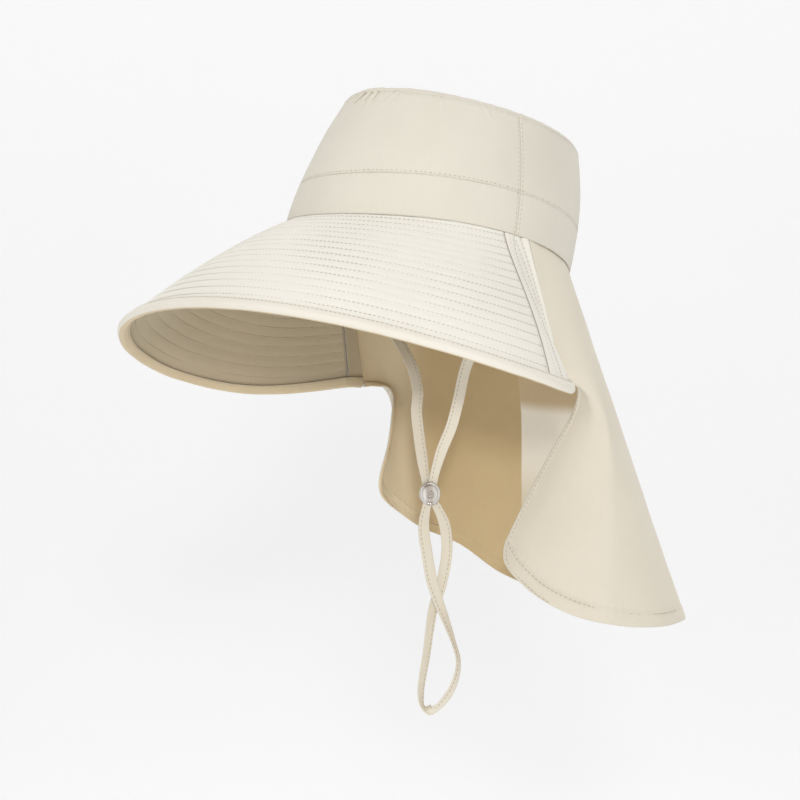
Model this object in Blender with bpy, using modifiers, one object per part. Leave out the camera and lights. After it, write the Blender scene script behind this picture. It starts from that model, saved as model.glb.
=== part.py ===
"""Flap sun hat: a cloth bucket crown, a wide stitched front brim, a neck flap and a chin strap.

Metres, +Z up. The front of the hat faces -Y and the wearer's left is +X.
The origin is the middle of the head opening, where the hat sits on the head.
The crown and brim lean back on the head; the flap and the strap hang straight down.
"""
import math
from collections import namedtuple

import bmesh
import bpy
from mathutils import Vector

# Crown, as its outer face
CROWN_HALF_WIDTH = 0.0890
CROWN_HALF_LENGTH = 0.0995
CROWN_HEIGHT = 0.0953
TOP_HALF_WIDTH = 0.0715
TOP_HALF_LENGTH = 0.0865
TOP_SHIFT_BACK = 0.0130
TOP_TILT = 0.0020
CROWN_BELLY = 0.0035
SIDE_RISE = 0.0060
SHOULDER_RADIUS = 0.0075
SHOULDER_START = 10.0
SHOULDER_END = 84.0
TIP_RISE = 0.0035
BAND_HEIGHT = 0.0305
BAND_DIP = 0.0036
GATHER_COUNT = 18
GATHER_DEPTH = 0.0005
GATHER_PLACE = 0.14
GATHER_SPREAD = 0.09
PANEL_COLUMNS = 28
SIDE_ROWS = 5
BAND_ROWS = 2
TIP_COLUMNS = 72

# Where the tip's rows lie: on the wall up to 1, on the shoulder up to 2, then in to the middle
TipRow = namedtuple("TipRow", "row along")
TIP_ROWS = (
    TipRow(0, 0.95),
    TipRow(1, 1.00),
    TipRow(2, 1.40),
    TipRow(3, 2.00),
    TipRow(4, 2.14),
    TipRow(5, 2.40),
    TipRow(6, 3.00),
)

# How far the hat is pushed back on the head
LEAN = math.radians(12.0)

# Side seams, as turns from the front in degrees, at the head opening and at the top
SEAM_TURN_LOW = 86.0
SEAM_TURN_TOP = 80.0

# Brim
BRIM_WIDTH = 0.1195
BRIM_END_TURN = 84.0
BRIM_BELLY = 0.0060
END_STRIP_TURN = 93.0
END_STRIP_WIDTH = 0.0105
END_STRIP_WAY = Vector((-0.30, 0.95, -0.05))
PIPING_RISE = 0.0007
PIPING_PLACE = 0.80
PIPING_SPREAD = 0.13
PIPING_END = 0.80
PIPING_FADE = 0.15
BRIM_COLUMNS = 48
STRIP_COLUMNS = 5
STRIP_ROWS = 5

# Flap
FLAP_DROP = 0.2500
FLAP_FLARE = 0.0780
FLAP_TUCK = 0.0010
EDGE_DROP_LEFT = 0.1105
EDGE_DROP_RIGHT = 0.0640
STRIP_SHARE = 0.40
CORNER_SHARE = 0.22
CORNER_ROWS = 6
FLAP_GRID_ROWS = 20
FLAP_COLUMNS = 36

# Cloth and trim
CROWN_CLOTH = 0.0012
BRIM_CLOTH = 0.0022
FLAP_CLOTH = 0.0010
BINDING_CLOTH = 0.0010
BINDING_LEG = 0.0046
BINDING_ON_STRIP = 0.90
ROLL_RADIUS = 0.0015
ROLL_STEPS = 24
ROLL_GAP = 0.0006
ROLL_START = 0.045
ROLL_END = 0.990
ROLL_SIDE_STEP = 2.0
ROLL_DOWN_STEP = 0.020
ROLL_ALONG_STEP = 0.004
FOLD_ROWS = 6
FOLD_GAP = 0.0007
SEAM_GAP = 0.0003

# Chin strap and its slider
STRAP_WIDTH = 0.0074
STRAP_CLOTH = 0.0012
STRAP_TURN = math.radians(48.0)
STRAP_ROWS = 78
STRAP_STEP = 0.002
SLIDER_WIDTH = 0.0152
SLIDER_DEPTH = 0.0125
SLIDER_HEIGHT = 0.0164
SLIDER_DROP = 0.1593
SLIDER_ACROSS = 0.0013
SLIDER_SIDES = 20
SLIDER_RINGS = 12
SLOT_WIDTH = 0.0122
SLOT_DEPTH = 0.0050

# The brim from its middle to its end. Each row gives where it leaves the crown, in degrees,
# and how far its outer edge lies out, round towards the back and down, as shares of BRIM_WIDTH.
BrimRow = namedtuple("BrimRow", "turn out sweep drop")
BRIM_ROWS = (
    BrimRow(-14, 0.754, -0.130, 0.673),
    BrimRow(0, 0.748, 0.000, 0.660),
    BrimRow(14, 0.754, 0.130, 0.673),
    BrimRow(28, 0.765, 0.250, 0.708),
    BrimRow(42, 0.754, 0.351, 0.757),
    BrimRow(56, 0.674, 0.419, 0.792),
    BrimRow(70, 0.468, 0.440, 0.778),
    BrimRow(84, 0.062, 0.395, 0.668),
)

# The flap from its left front edge round to its right one. Each row gives the place along the
# flap, the turn where it leaves the crown, the turn, reach and drop of the hem below, as degrees
# and as shares of FLAP_FLARE and FLAP_DROP, and how much of the front edge's bend it takes.
FlapRow = namedtuple("FlapRow", "place seam hem reach drop bend")
FLAP_ROWS = (
    FlapRow(0.00, 93.0, 99.0, -0.340, 0.786, 1.00),
    FlapRow(0.04, 98.0, 97.0, -0.200, 0.842, 0.94),
    FlapRow(0.09, 104.0, 99.0, 0.020, 0.900, 0.82),
    FlapRow(0.15, 111.0, 104.0, 0.300, 0.944, 0.66),
    FlapRow(0.23, 121.0, 113.0, 0.560, 0.970, 0.40),
    FlapRow(0.32, 135.0, 127.0, 0.800, 0.980, 0.19),
    FlapRow(0.41, 154.0, 144.0, 0.980, 0.974, 0.05),
    FlapRow(0.50, 174.0, 166.0, 1.040, 0.972, 0.00),
    FlapRow(0.58, 192.0, 194.0, 1.000, 0.960, 0.00),
    FlapRow(0.66, 207.0, 209.0, 0.840, 0.890, 0.00),
    FlapRow(0.75, 222.0, 220.5, 0.630, 0.800, 0.04),
    FlapRow(0.83, 236.0, 231.5, 0.450, 0.752, 0.16),
    FlapRow(0.90, 248.0, 241.0, 0.300, 0.700, 0.38),
    FlapRow(0.95, 258.0, 248.0, 0.130, 0.655, 0.70),
    FlapRow(1.00, 267.0, 252.0, -0.130, 0.610, 1.00),
)

# The flap's free front edges, from the end strip round the corner and down to the hem, as shares
# of the edge's own drop: how far inwards, back and down each point lies from the strip's end.
EdgeRow = namedtuple("EdgeRow", "along inward back down")
EDGE_ROWS_LEFT = (
    EdgeRow(0.00, 0.000, 0.000, 0.000),
    EdgeRow(0.08, 0.020, 0.115, 0.015),
    EdgeRow(0.16, 0.070, 0.200, 0.055),
    EdgeRow(0.24, 0.110, 0.215, 0.150),
    EdgeRow(0.36, 0.145, 0.160, 0.280),
    EdgeRow(0.56, 0.215, 0.055, 0.500),
    EdgeRow(0.78, 0.270, -0.065, 0.745),
    EdgeRow(1.00, 0.350, -0.160, 1.000),
)
EDGE_ROWS_RIGHT = (
    EdgeRow(0.00, 0.000, 0.000, 0.000),
    EdgeRow(0.12, 0.020, 0.170, 0.010),
    EdgeRow(0.26, 0.060, 0.300, 0.050),
    EdgeRow(0.38, 0.110, 0.335, 0.140),
    EdgeRow(0.54, 0.160, 0.290, 0.290),
    EdgeRow(0.78, 0.240, 0.150, 0.680),
    EdgeRow(1.00, 0.290, -0.020, 1.000),
)

# The strap's route: how far it lies along the line turned STRAP_TURN from the hat's left side,
# how far towards its viewer from there and how high, in metres, then the share of its width
# that lies open and the turn of its face from that line, in degrees. The first and last rows
# are sewn inside the crown's band, at its left and its right.
StrapRow = namedtuple("StrapRow", "across near up open face")
STRAP_ROUTE = (
    StrapRow(0.0574, 0.0637, 0.0150, 1.00, 42),
    StrapRow(0.0568, 0.0631, 0.0020, 1.00, 42),
    StrapRow(0.0495, 0.0550, -0.0200, 1.00, 30),
    StrapRow(0.0375, 0.0416, -0.0480, 1.00, 18),
    StrapRow(0.0251, 0.0278, -0.0740, 1.00, 8),
    StrapRow(0.0191, 0.0190, -0.1000, 1.00, 0),
    StrapRow(0.0152, 0.0130, -0.1150, 1.00, 0),
    StrapRow(0.0092, 0.0070, -0.1300, 0.98, 0),
    StrapRow(0.0045, 0.0022, -0.1460, 0.80, 0),
    StrapRow(0.0022, 0.0011, -0.1593, 0.70, 0),
    StrapRow(-0.0012, 0.0013, -0.1690, 0.80, 0),
    StrapRow(-0.0028, 0.0020, -0.1827, 1.00, 0),
    StrapRow(-0.0004, 0.0028, -0.2005, 1.00, 0),
    StrapRow(0.0024, 0.0034, -0.2164, 1.00, 4),
    StrapRow(0.0069, 0.0040, -0.2302, 0.95, 20),
    StrapRow(0.0112, 0.0044, -0.2415, 0.95, 44),
    StrapRow(0.0168, 0.0044, -0.2573, 0.95, 66),
    StrapRow(0.0200, 0.0038, -0.2700, 1.00, 66),
    StrapRow(0.0175, 0.0024, -0.2840, 1.00, 54),
    StrapRow(0.0115, 0.0008, -0.2950, 1.00, 50),
    StrapRow(0.0040, -0.0006, -0.3020, 1.00, 62),
    StrapRow(-0.0030, -0.0018, -0.3010, 1.00, 72),
    StrapRow(-0.0048, -0.0026, -0.2930, 1.00, 58),
    StrapRow(-0.0036, -0.0032, -0.2810, 1.00, 50),
    StrapRow(-0.0010, -0.0036, -0.2660, 1.00, 46),
    StrapRow(0.0010, -0.0038, -0.2507, 1.00, 42),
    StrapRow(0.0036, -0.0038, -0.2350, 1.00, 30),
    StrapRow(0.0079, -0.0034, -0.2226, 1.00, 10),
    StrapRow(0.0112, -0.0028, -0.2078, 1.00, 0),
    StrapRow(0.0126, -0.0022, -0.1940, 1.00, 0),
    StrapRow(0.0110, -0.0016, -0.1800, 1.00, 0),
    StrapRow(0.0064, -0.0013, -0.1690, 0.80, 0),
    StrapRow(0.0004, -0.0011, -0.1593, 0.70, 0),
    StrapRow(-0.0018, -0.0018, -0.1480, 0.80, 0),
    StrapRow(-0.0036, -0.0030, -0.1371, 0.98, 0),
    StrapRow(-0.0055, -0.0050, -0.1240, 1.00, 0),
    StrapRow(-0.0075, -0.0080, -0.1050, 1.00, 0),
    StrapRow(-0.0068, -0.0090, -0.0910, 1.00, 4),
    StrapRow(-0.0112, -0.0124, -0.0735, 1.00, 12),
    StrapRow(-0.0228, -0.0253, -0.0530, 1.00, 20),
    StrapRow(-0.0400, -0.0444, -0.0300, 1.00, 30),
    StrapRow(-0.0565, -0.0628, -0.0040, 1.00, 42),
    StrapRow(-0.0574, -0.0637, 0.0110, 1.00, 42),
)

# Colours of the cream cloth and of the clear slider
CREAM = (0.80, 0.76, 0.67, 1.0)
PALE_CREAM = (0.86, 0.83, 0.76, 1.0)
WARM_CREAM = (0.82, 0.76, 0.65, 1.0)
CLEAR = (0.90, 0.91, 0.92, 1.0)


def clear_scene():
    """Remove whatever the file opened with."""
    for item in list(bpy.data.objects):
        bpy.data.objects.remove(item, do_unlink=True)


def make_material(name, colour, roughness, metallic=0.0):
    """A plain finish for one sub-part."""
    material = bpy.data.materials.new(name)
    material.use_nodes = True
    shader = material.node_tree.nodes["Principled BSDF"]
    shader.inputs["Base Color"].default_value = colour
    shader.inputs["Roughness"].default_value = roughness
    shader.inputs["Metallic"].default_value = metallic
    return material


def between(rows, key, place, column):
    """Read one column of a table at a place between its rows, on a smooth curve."""
    places = [getattr(row, key) for row in rows]
    values = [getattr(row, column) for row in rows]
    last = len(rows) - 1
    if place <= places[0]:
        return values[0]
    if place >= places[last]:
        return values[last]
    low = max(index for index in range(last) if places[index] <= place)

    def slope(index):
        before = max(index - 1, 0)
        after = min(index + 1, last)
        return (values[after] - values[before]) / (places[after] - places[before])

    span = places[low + 1] - places[low]
    t = (place - places[low]) / span
    start = (2 * t ** 3 - 3 * t ** 2 + 1) * values[low]
    start += (t ** 3 - 2 * t ** 2 + t) * span * slope(low)
    end = (3 * t ** 2 - 2 * t ** 3) * values[low + 1]
    end += (t ** 3 - t ** 2) * span * slope(low + 1)
    return start + end


def lean_back(point):
    """Turn a point of the upright hat to where it lies on the head."""
    x, y, z = point
    return Vector((x,
                   y * math.cos(LEAN) + z * math.sin(LEAN),
                   z * math.cos(LEAN) - y * math.sin(LEAN)))


def head_line(turn, inset=0.0, lower=0.0):
    """The crown's lower rim in the upright hat. It rises a little at the two sides."""
    angle = math.radians(turn)
    return Vector(((CROWN_HALF_WIDTH - inset) * math.sin(angle),
                   -(CROWN_HALF_LENGTH - inset) * math.cos(angle),
                   SIDE_RISE * math.sin(angle) ** 2 - lower))


def crown_wall(height, turn):
    """The crown's outer face from the head line, 0, up to the shoulder, 1."""
    angle = math.radians(turn)
    belly = CROWN_BELLY * 4 * height * (1 - height)
    half_width = CROWN_HALF_WIDTH + (TOP_HALF_WIDTH - CROWN_HALF_WIDTH) * height + belly
    half_length = CROWN_HALF_LENGTH + (TOP_HALF_LENGTH - CROWN_HALF_LENGTH) * height + belly
    rise = SIDE_RISE * math.sin(angle) ** 2 * (1 - height)
    rise += (CROWN_HEIGHT - TIP_RISE - SHOULDER_RADIUS + TOP_TILT * math.cos(angle)) * height
    return Vector((half_width * math.sin(angle),
                   TOP_SHIFT_BACK * height - half_length * math.cos(angle),
                   rise))


def crown_point(along, turn):
    """The whole crown: wall from 0 to 1, rounded shoulder from 1 to 2, tip from 2 to 3."""
    if along <= 1:
        return lean_back(crown_wall(along, turn))
    angle = math.radians(turn)
    outward = Vector((math.sin(angle), -math.cos(angle), 0))
    bend = math.radians(SHOULDER_START + (SHOULDER_END - SHOULDER_START) * (min(along, 2) - 1))
    first = math.radians(SHOULDER_START)
    inward = SHOULDER_RADIUS * (math.cos(first) - math.cos(bend))
    upward = SHOULDER_RADIUS * (math.sin(bend) - math.sin(first))
    rim = crown_wall(1, turn) - outward * inward + Vector((0, 0, upward))
    if along <= 2:
        return lean_back(rim)
    centre = Vector((0, TOP_SHIFT_BACK, rim.z - TOP_TILT * math.cos(angle)))
    inside = along - 2
    point = centre + (rim - centre) * (1 - inside)
    gathers = GATHER_DEPTH * math.sin(GATHER_COUNT * angle)
    gathers *= math.exp(-((inside - GATHER_PLACE) / GATHER_SPREAD) ** 2)
    point.z += TIP_RISE * (1 - (1 - inside) ** 2) + gathers
    return lean_back(point)


def seam_turn(along):
    """The side seam's turn, which comes forward a little towards the top."""
    return SEAM_TURN_LOW + (SEAM_TURN_TOP - SEAM_TURN_LOW) * along


def band_seam(turn):
    """The height of the seam over the band, which lies lowest at the front's right."""
    height = BAND_HEIGHT - BAND_DIP * (1 - math.sin(math.radians(turn)))
    return height / (CROWN_HEIGHT - TIP_RISE - SHOULDER_RADIUS)


def brim_point(turn, share):
    """The brim's upper face, from the crown, 0, to its outer edge, 1, on either side."""
    side = -1 if turn < 0 else 1
    angle = math.radians(abs(turn))
    start = head_line(abs(turn), lower=SEAM_GAP)
    out = between(BRIM_ROWS, "turn", abs(turn), "out")
    sweep = between(BRIM_ROWS, "turn", abs(turn), "sweep")
    drop = between(BRIM_ROWS, "turn", abs(turn), "drop")
    reach = Vector((out * math.sin(angle) + sweep * math.cos(angle),
                    sweep * math.sin(angle) - out * math.cos(angle),
                    -drop - start.z / BRIM_WIDTH))
    point = start + reach * BRIM_WIDTH * share
    point.z += BRIM_BELLY * 4 * share * (1 - share)
    point.x *= side
    return lean_back(point)


def strip_point(across, share):
    """The left end strip, from the brim's end, 0, to the flap, 1, and from the crown down."""
    margin = SEAM_GAP / END_STRIP_WIDTH
    near = brim_point(BRIM_END_TURN, share)
    top = lean_back(head_line(END_STRIP_TURN, lower=SEAM_GAP))
    low = brim_point(BRIM_END_TURN, 1) + END_STRIP_WAY * END_STRIP_WIDTH
    far = top + (low - top) * share
    far.y -= BRIM_BELLY * share * (1 - share)
    far.z += BRIM_BELLY * 2 * share * (1 - share)
    return near + (far - near) * (margin + (1 - margin) * across)


def piped_strip_point(across, share):
    """The end strip with the raised piping near its back seam."""
    point = strip_point(across, share)
    ridge = math.exp(-((across - PIPING_PLACE) / PIPING_SPREAD) ** 2)
    point.x += PIPING_RISE * ridge * min(1, max(0, (PIPING_END - share) / PIPING_FADE))
    return point


def mirrored(point):
    """The same point on the hat's other side."""
    return Vector((-point.x, point.y, point.z))


def front_edge(side, down):
    """The flap's front boundary: along the end strip, round the corner and down the free edge."""
    gap = Vector((0, SEAM_GAP, 0))
    if down <= STRIP_SHARE:
        point = strip_point(1, down / STRIP_SHARE) + gap
        return point if side > 0 else mirrored(point)
    rows = EDGE_ROWS_LEFT if side > 0 else EDGE_ROWS_RIGHT
    size = EDGE_DROP_LEFT if side > 0 else EDGE_DROP_RIGHT
    along = (down - STRIP_SHARE) / (1 - STRIP_SHARE)
    offset = Vector((-between(rows, "along", along, "inward"),
                     between(rows, "along", along, "back"),
                     -between(rows, "along", along, "down")))
    point = strip_point(1, 1) + gap + offset * size
    return point if side > 0 else mirrored(point)


def flap_down(v):
    """How far down the flap a row lies. Rows crowd together at the bend of the front edges."""
    row = v * FLAP_GRID_ROWS
    if row <= STRIP_ROWS:
        return STRIP_SHARE * row / STRIP_ROWS
    if row <= STRIP_ROWS + CORNER_ROWS:
        return STRIP_SHARE + CORNER_SHARE * (row - STRIP_ROWS) / CORNER_ROWS
    rest = (row - STRIP_ROWS - CORNER_ROWS) / (FLAP_GRID_ROWS - STRIP_ROWS - CORNER_ROWS)
    start = STRIP_SHARE + CORNER_SHARE
    return start + (1 - start) * rest


def flap_point(place, down):
    """The flap's outer face, from the left front edge, 0, round the back to the right one, 1."""
    side = 1 if place <= 0.5 else -1
    if place in (0, 1):
        return front_edge(side, down)
    seam = between(FLAP_ROWS, "place", place, "seam")
    top = lean_back(head_line(seam, inset=FLAP_TUCK, lower=SEAM_GAP))
    hem = math.radians(between(FLAP_ROWS, "place", place, "hem"))
    reach = between(FLAP_ROWS, "place", place, "reach") * FLAP_FLARE
    rim = head_line(math.degrees(hem))
    low = Vector((rim.x + reach * math.sin(hem),
                  rim.y - reach * math.cos(hem),
                  -between(FLAP_ROWS, "place", place, "drop") * FLAP_DROP))
    bend = between(FLAP_ROWS, "place", place, "bend")
    front_top = front_edge(side, 0)
    front_low = front_edge(side, 1)
    below_strip = max(0, (down - STRIP_SHARE) / (1 - STRIP_SHARE))
    point = top + (low - top) * down
    point.z += bend * (low.z - front_low.z) * (below_strip - down)
    return point + bend * (front_edge(side, down) - front_top - (front_low - front_top) * down)


def make_sheet(name, columns, rows, place, thickness, material, welded=False, offset=-1.0):
    """A cloth wall: a grid bent to its outer face and thickened inwards.

    place(u, v) gives the outer face, with u round the hat and v upwards.
    """
    sheet = bmesh.new()
    bmesh.ops.create_grid(sheet, x_segments=columns, y_segments=rows, size=0.5)
    for vertex in sheet.verts:
        u = round(vertex.co.x + 0.5, 6)
        v = round(vertex.co.y + 0.5, 6)
        vertex.co = place(u, v)
    if welded:
        bmesh.ops.remove_doubles(sheet, verts=sheet.verts, dist=0.00001)
    mesh = bpy.data.meshes.new(name)
    sheet.to_mesh(mesh)
    sheet.free()
    mesh.materials.append(material)
    mesh.shade_smooth()
    item = bpy.data.objects.new(name, mesh)
    HAT.objects.link(item)
    wall = item.modifiers.new("Cloth thickness", "SOLIDIFY")
    wall.thickness = thickness
    wall.offset = offset
    wall.use_even_offset = True
    return item


def make_crown():
    """The tip, the two side panels and the two band panels."""
    gap_turn = math.degrees(SEAM_GAP / 2 / TOP_HALF_LENGTH)
    gap = SEAM_GAP / 2 / (CROWN_HEIGHT - TIP_RISE - SHOULDER_RADIUS)
    top_seam = TIP_ROWS[0].along

    def panel(name, low, high, back, rows, material):
        def place(u, v):
            seam = seam_turn(low(0) + (high(0) - low(0)) * v)
            start = seam + gap_turn if back else gap_turn - seam
            end = 360 - seam - gap_turn if back else seam - gap_turn
            turn = start + (end - start) * u
            return crown_point(low(turn) + (high(turn) - low(turn)) * v, turn)
        make_sheet(name, PANEL_COLUMNS, rows, place, CROWN_CLOTH, material)

    def rim(turn):
        return 0

    def under_seam(turn):
        return band_seam(turn) - gap

    def over_seam(turn):
        return band_seam(turn) + gap

    def under_tip(turn):
        return top_seam - gap

    cloth = make_material("crown_side_cloth", CREAM, 0.85)
    band_cloth = make_material("crown_band_cloth", CREAM, 0.85)
    tip_cloth = make_material("crown_tip_cloth", CREAM, 0.85)
    panel("crown_side_front", over_seam, under_tip, False, SIDE_ROWS, cloth)
    panel("crown_side_back", over_seam, under_tip, True, SIDE_ROWS, cloth)
    panel("crown_band_front", rim, under_seam, False, BAND_ROWS, band_cloth)
    panel("crown_band_back", rim, under_seam, True, BAND_ROWS, band_cloth)

    def tip(u, v):
        along = between(TIP_ROWS, "row", v * (len(TIP_ROWS) - 1), "along")
        return crown_point(along + gap if v == 0 else along, 360 * u)
    make_sheet("crown_tip", TIP_COLUMNS, len(TIP_ROWS) - 1, tip, CROWN_CLOTH, tip_cloth,
               welded=True)


def make_brim():
    """The stitched brim and the two strips that join its ends to the flap."""
    cloth = make_material("brim_cloth", PALE_CREAM, 0.8)
    strip_cloth = make_material("brim_end_cloth", PALE_CREAM, 0.8)
    make_sheet("brim", BRIM_COLUMNS, STRIP_ROWS,
               lambda u, v: brim_point(BRIM_END_TURN * (2 * u - 1), 1 - v),
               BRIM_CLOTH, cloth)
    make_sheet("brim_end_left", STRIP_COLUMNS, STRIP_ROWS,
               lambda u, v: piped_strip_point(u, 1 - v),
               BRIM_CLOTH, strip_cloth)
    make_sheet("brim_end_right", STRIP_COLUMNS, STRIP_ROWS,
               lambda u, v: mirrored(piped_strip_point(1 - u, 1 - v)),
               BRIM_CLOTH, strip_cloth)


def folded_over(edge, inside, beside, cloth, leg, v):
    """One point of a binding's outer face, folded over the edge of a cloth wall.

    edge is on the wall's outer face, inside a little further in from the edge and beside a
    little further along it, so that edge - inside points out of the wall.
    """
    along = (beside - edge).normalized()
    out = edge - inside
    out = (out - along * out.dot(along)).normalized()
    across = out.cross(along).normalized()
    half = cloth / 2 + FOLD_GAP + BINDING_CLOTH
    middle = edge - across * cloth / 2
    fold = v * FOLD_ROWS
    if fold < 1:
        return middle - across * half - out * leg * (1 - fold)
    if fold > FOLD_ROWS - 1:
        return middle + across * half - out * leg * (fold - FOLD_ROWS + 1)
    turn = math.pi * ((fold - 1) / (FOLD_ROWS - 2) - 0.5)
    return middle + (across * math.sin(turn) + out * math.cos(turn)) * half


def make_brim_binding():
    """The tape folded over the brim's outer edge, from one end strip to the other."""
    cloth = make_material("binding_cloth", PALE_CREAM, 0.75)
    step = 1 / STRIP_ROWS
    strip_part = STRIP_COLUMNS / (BRIM_COLUMNS + 2 * STRIP_COLUMNS)

    def rim(place, share):
        side = 1 if place >= 0.5 else -1
        if strip_part <= place <= 1 - strip_part:
            turn = BRIM_END_TURN * (2 * (place - strip_part) / (1 - 2 * strip_part) - 1)
            return brim_point(turn, share)
        away = BINDING_ON_STRIP * (max(place, 1 - place) - (1 - strip_part)) / strip_part
        point = strip_point(away, share)
        return point if side > 0 else mirrored(point)

    def place_binding(u, v):
        edge = rim(u, 1)
        inside = rim(u, 1 - step)
        column = 1 / (BRIM_COLUMNS + 2 * STRIP_COLUMNS)
        beside = edge + rim(min(u + column, 1), 1) - rim(max(u - column, 0), 1)
        return folded_over(edge, inside, beside, BRIM_CLOTH, BINDING_LEG, v)
    make_sheet("brim_binding", BRIM_COLUMNS + 2 * STRIP_COLUMNS, FOLD_ROWS, place_binding,
               BINDING_CLOTH, cloth)


def make_flap():
    """The neck flap and the rolled edges down its two free fronts."""
    cloth = make_material("flap_cloth", WARM_CREAM, 0.85)
    edge_cloth = make_material("flap_edge_cloth", PALE_CREAM, 0.75)
    make_sheet("flap", FLAP_COLUMNS, FLAP_GRID_ROWS,
               lambda u, v: flap_point(u, flap_down(1 - v)),
               FLAP_CLOTH, cloth)

    def rolled_edge(name, side):
        points = []
        for step in range(ROLL_STEPS + 1):
            along_edge = ROLL_START + (ROLL_END - ROLL_START) * step / ROLL_STEPS
            down = STRIP_SHARE + (1 - STRIP_SHARE) * along_edge
            here = 0.0 if side > 0 else 1.0
            edge = flap_point(here, down)
            inside = flap_point(here + ROLL_SIDE_STEP * side / FLAP_COLUMNS, down - ROLL_DOWN_STEP)
            after = flap_point(here, down + ROLL_ALONG_STEP)
            before = flap_point(here, down - ROLL_ALONG_STEP)
            along = (after - before).normalized()
            out = edge - inside
            out = (out - along * out.dot(along)).normalized()
            inward = along.cross(out) * side
            points.append(edge + out * (ROLL_RADIUS + ROLL_GAP) + inward * FLAP_CLOTH / 2)
        make_tube(name, points, ROLL_RADIUS, edge_cloth)

    rolled_edge("flap_edge_left", 1)
    rolled_edge("flap_edge_right", -1)


def make_tube(name, points, radius, material):
    """A round cord of cloth along a list of points."""
    curve = bpy.data.curves.new(name, "CURVE")
    curve.dimensions = "3D"
    curve.bevel_depth = radius
    curve.bevel_resolution = 2
    curve.use_fill_caps = True
    spline = curve.splines.new("POLY")
    spline.points.add(len(points) - 1)
    for target, point in zip(spline.points, points):
        target.co = (*point, 1)
    curve.materials.append(material)
    HAT.objects.link(bpy.data.objects.new(name, curve))


def strap_axes():
    """The strap loop's own line across and the direction towards its viewer."""
    across = Vector((math.cos(STRAP_TURN), math.sin(STRAP_TURN), 0))
    near = Vector((math.sin(STRAP_TURN), -math.cos(STRAP_TURN), 0))
    return across, near


def strap_centre(place):
    """The middle of the strap at a share of its route, read on a smooth curve."""
    across, near = strap_axes()
    columns = ("across", "near", "up", "open", "face")
    row = StrapRow(*(between(STRAP_TABLE, "place", place, column) for column in columns))
    return across * row.across + near * row.near + Vector((0, 0, row.up)), row


StrapPlace = namedtuple("StrapPlace", "place across near up open face")


def strap_table():
    """The route with each row's share of the whole length."""
    lengths = [0.0]
    for before, after in zip(STRAP_ROUTE, STRAP_ROUTE[1:]):
        step = Vector(after[:3]) - Vector(before[:3])
        lengths.append(lengths[-1] + step.length)
    return [StrapPlace(length / lengths[-1], *row) for length, row in zip(lengths, STRAP_ROUTE)]


STRAP_TABLE = strap_table()


def make_strap():
    """The chin strap: one flat tape from the left side through the slider and back."""
    cloth = make_material("strap_cloth", PALE_CREAM, 0.8)
    across, near = strap_axes()

    def place(u, v):
        middle, row = strap_centre(v)
        after, _ = strap_centre(min(v + STRAP_STEP, 1))
        before, _ = strap_centre(max(v - STRAP_STEP, 0))
        along = (after - before).normalized()
        face = math.radians(row.face)
        facing = near * math.cos(face) + across * math.sin(face)
        side = along.cross(facing).normalized()
        return middle + side * STRAP_WIDTH * row.open * (u - 0.5)
    make_sheet("chin_strap", 1, STRAP_ROWS, place, STRAP_CLOTH, cloth, offset=0.0)


def make_slider():
    """The clear bead with a slot right through it for both runs of the strap."""
    clear = make_material("slider_clear", CLEAR, 0.1)
    across, near = strap_axes()
    bead = bmesh.new()
    bmesh.ops.create_uvsphere(bead, u_segments=SLIDER_SIDES, v_segments=SLIDER_RINGS,
                              radius=0.5)
    middle = across * SLIDER_ACROSS + Vector((0, 0, -SLIDER_DROP))
    for vertex in bead.verts:
        shape = vertex.co.copy()
        vertex.co = (middle + across * shape.x * SLIDER_WIDTH + near * -shape.y * SLIDER_DEPTH
                     + Vector((0, 0, shape.z * SLIDER_HEIGHT)))
    mesh = bpy.data.meshes.new("strap_slider")
    bead.to_mesh(mesh)
    bead.free()
    mesh.materials.append(clear)
    mesh.shade_smooth()
    item = bpy.data.objects.new("strap_slider", mesh)
    HAT.objects.link(item)

    bpy.ops.mesh.primitive_cube_add(size=1, location=middle)
    cutter = bpy.context.object
    cutter.name = "slider_slot_cutter"
    cutter.rotation_euler.z = STRAP_TURN
    cutter.scale = (SLOT_WIDTH, SLOT_DEPTH, SLIDER_HEIGHT * 1.5)
    cutter.hide_render = True
    cutter.display_type = "WIRE"
    for collection in list(cutter.users_collection):
        collection.objects.unlink(cutter)
    CUTTERS.objects.link(cutter)
    cut = item.modifiers.new("Slot", "BOOLEAN")
    cut.operation = "DIFFERENCE"
    cut.object = cutter


clear_scene()
HAT = bpy.data.collections.new("flap_sun_hat")
CUTTERS = bpy.data.collections.new("cutters")
bpy.context.scene.collection.children.link(HAT)
bpy.context.scene.collection.children.link(CUTTERS)
make_crown()
make_brim()
make_brim_binding()
make_flap()
make_strap()
make_slider()
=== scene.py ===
"""Flap sun hat: the cloth, stitching and trim that dress the plain solids of the frame."""
import math
from collections import namedtuple
from functools import lru_cache

import bmesh
import bpy
import numpy as np
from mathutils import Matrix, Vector, noise


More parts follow.
